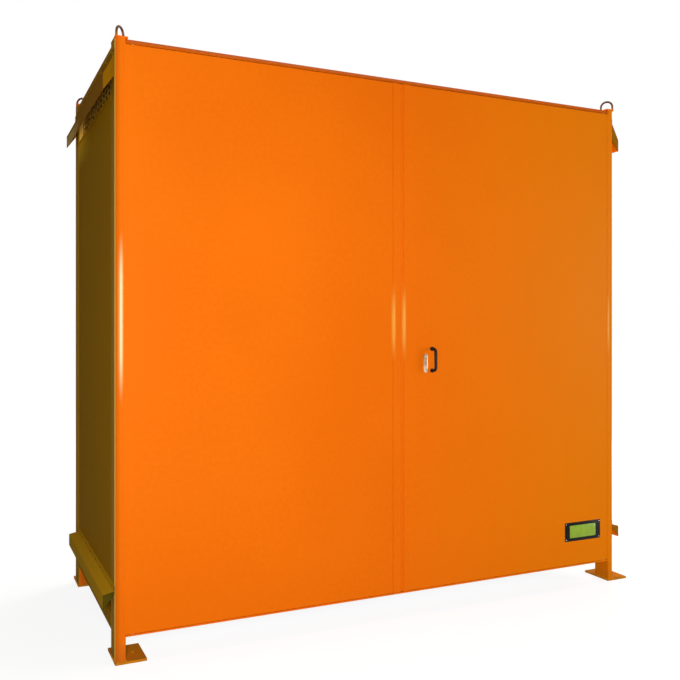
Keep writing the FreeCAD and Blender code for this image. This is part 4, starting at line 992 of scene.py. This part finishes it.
# Floor and shelf gratings: press-locked galvanised gratings, 30 mm bearing bars along the store with thin
# cross bars let in flush with their tops and a flat border bar all round, three panels side by side.
GRATING_DARK = (0.36, 0.38, 0.40, 1.0)
GRATING_LIGHT = (0.62, 0.64, 0.65, 1.0)
BAR = 0.003
BAR_STEP = 0.0333
BAR_EDGE = 0.0004
CROSS = 0.002
CROSS_RISE = 0.010
CROSS_STEP = 0.0381
PANEL_COUNT = 3
PANEL_GAP = 0.004


def flat_bar(length, depth, height):
    """A flat bar from the origin, with its edges broken."""
    bar = block((length, depth, height), (length / 2, depth / 2, height / 2))
    edit_all()
    bpy.ops.mesh.bevel(offset=BAR_EDGE, segments=1)
    bpy.ops.object.mode_set(mode="OBJECT")
    return bar


def fine_grating(node, name):
    """The panels of one level, in the room that its CAD bars take."""
    low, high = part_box(node)
    length = (high.x - low.x - (PANEL_COUNT - 1) * PANEL_GAP) / PANEL_COUNT
    depth = high.y - low.y
    height = high.z - low.z
    bearing = []
    cross = []
    borders = []
    for panel in range(PANEL_COUNT):
        x = low.x + panel * (length + PANEL_GAP)
        for y in row(low.y, high.y - BAR, BAR_STEP):
            bearing.append(at(x, y, low.z))
        for cross_x in row(x + CROSS_STEP / 2, x + length - CROSS_STEP / 2, CROSS_STEP):
            cross.append(at(cross_x, low.y, high.z - CROSS_RISE))
        for border_x in (x, x + length - BAR):
            borders.append(at(border_x, low.y, low.z))
    pieces = [
        spread(flat_bar(length, BAR, height), bearing),
        spread(flat_bar(CROSS, depth, CROSS_RISE), cross),
        spread(flat_bar(BAR, depth, height), borders),
    ]
    fit(joined(pieces), name, grating_zinc, "frame", "galvanised_steel", node)


grating_zinc = galvanised("grating_zinc", GRATING_DARK, GRATING_LIGHT)
fine_grating("floor_gratings", "floor_panels")
fine_grating("shelf_gratings", "shelf_panels")

# Shelf beams: two galvanised box beams along the store, front and rear, held between end plates that are
# welded to the posts.
dress(zinc, "shelf_beams", "shelf_connectors")

# Label plate: a thin black plate with a plain green field glued on it, held low on the right leaf by a
# bright rivet in each corner.
LABEL_BLACK = (0.004, 0.004, 0.004, 1.0)
LABEL_SCUFFED = (0.010, 0.009, 0.008, 1.0)
LABEL_GREEN = (0.26, 0.44, 0.02, 1.0)
LABEL_FADED = (0.33, 0.52, 0.03, 1.0)
LABEL_CENTRE = (1.218, 0.342)
LABEL_SIZE = (0.280, 0.116)
LABEL_BORDER = (0.038, 0.020)
LABEL_CORNER = 0.006
LABEL_THICK = 0.0012
FIELD_CORNER = 0.004
FIELD_THICK = 0.0003
LABEL_RIVET = 0.0032
label_black, label_skin = new_finish("label_black", {"Specular IOR Level": 0.12})
label_scuff = label_skin.noise(scale=50.0, detail=4.0).rise(0.45, 0.75)
lay_on(label_black, {
    "Base Color": label_scuff.mix(LABEL_BLACK, LABEL_SCUFFED),
    "Roughness": 0.35 + label_scuff * 0.2,
})
label_green, field_skin = new_finish("label_green", {"Specular IOR Level": 0.4})
green_fade = field_skin.noise(scale=35.0, detail=4.0)
lay_on(label_green, {
    "Base Color": green_fade.rise(0.3, 0.7).mix(LABEL_GREEN, LABEL_FADED),
    "Roughness": 0.30 + green_fade * 0.2,
})


def label_layer(name, material, width, height, thick, corner, behind):
    """A flat layer of the label with rounded corners and broken edges, on the face behind it."""
    layer = rounded_plate(width, height, thick, corner, 5)
    round_edges(layer, 0.25 * thick)
    layer.data.transform(at(LABEL_CENTRE[0], behind, LABEL_CENTRE[1], "front"))
    fit(layer, name, material, "right_leaf", "black_grip")


label_front = right_low.y - LABEL_THICK
field_size = [size - 2 * border for size, border in zip(LABEL_SIZE, LABEL_BORDER)]
label_layer("label_plate", label_black, *LABEL_SIZE, LABEL_THICK, LABEL_CORNER, right_low.y)
label_layer("label_field", label_green, *field_size, FIELD_THICK, FIELD_CORNER, label_front)
rivet_places = []
for across in (-1, 1):
    for upward in (-1, 1):
        rivet_x = LABEL_CENTRE[0] + across * (LABEL_SIZE[0] - LABEL_BORDER[1]) / 2
        rivet_z = LABEL_CENTRE[1] + upward * (LABEL_SIZE[1] - LABEL_BORDER[1]) / 2
        rivet_places.append(at(rivet_x, label_front, rivet_z, "front"))
fit(spread(dome_rivet(LABEL_RIVET), rivet_places), "label_rivets", bright, "right_leaf", "bright_steel")
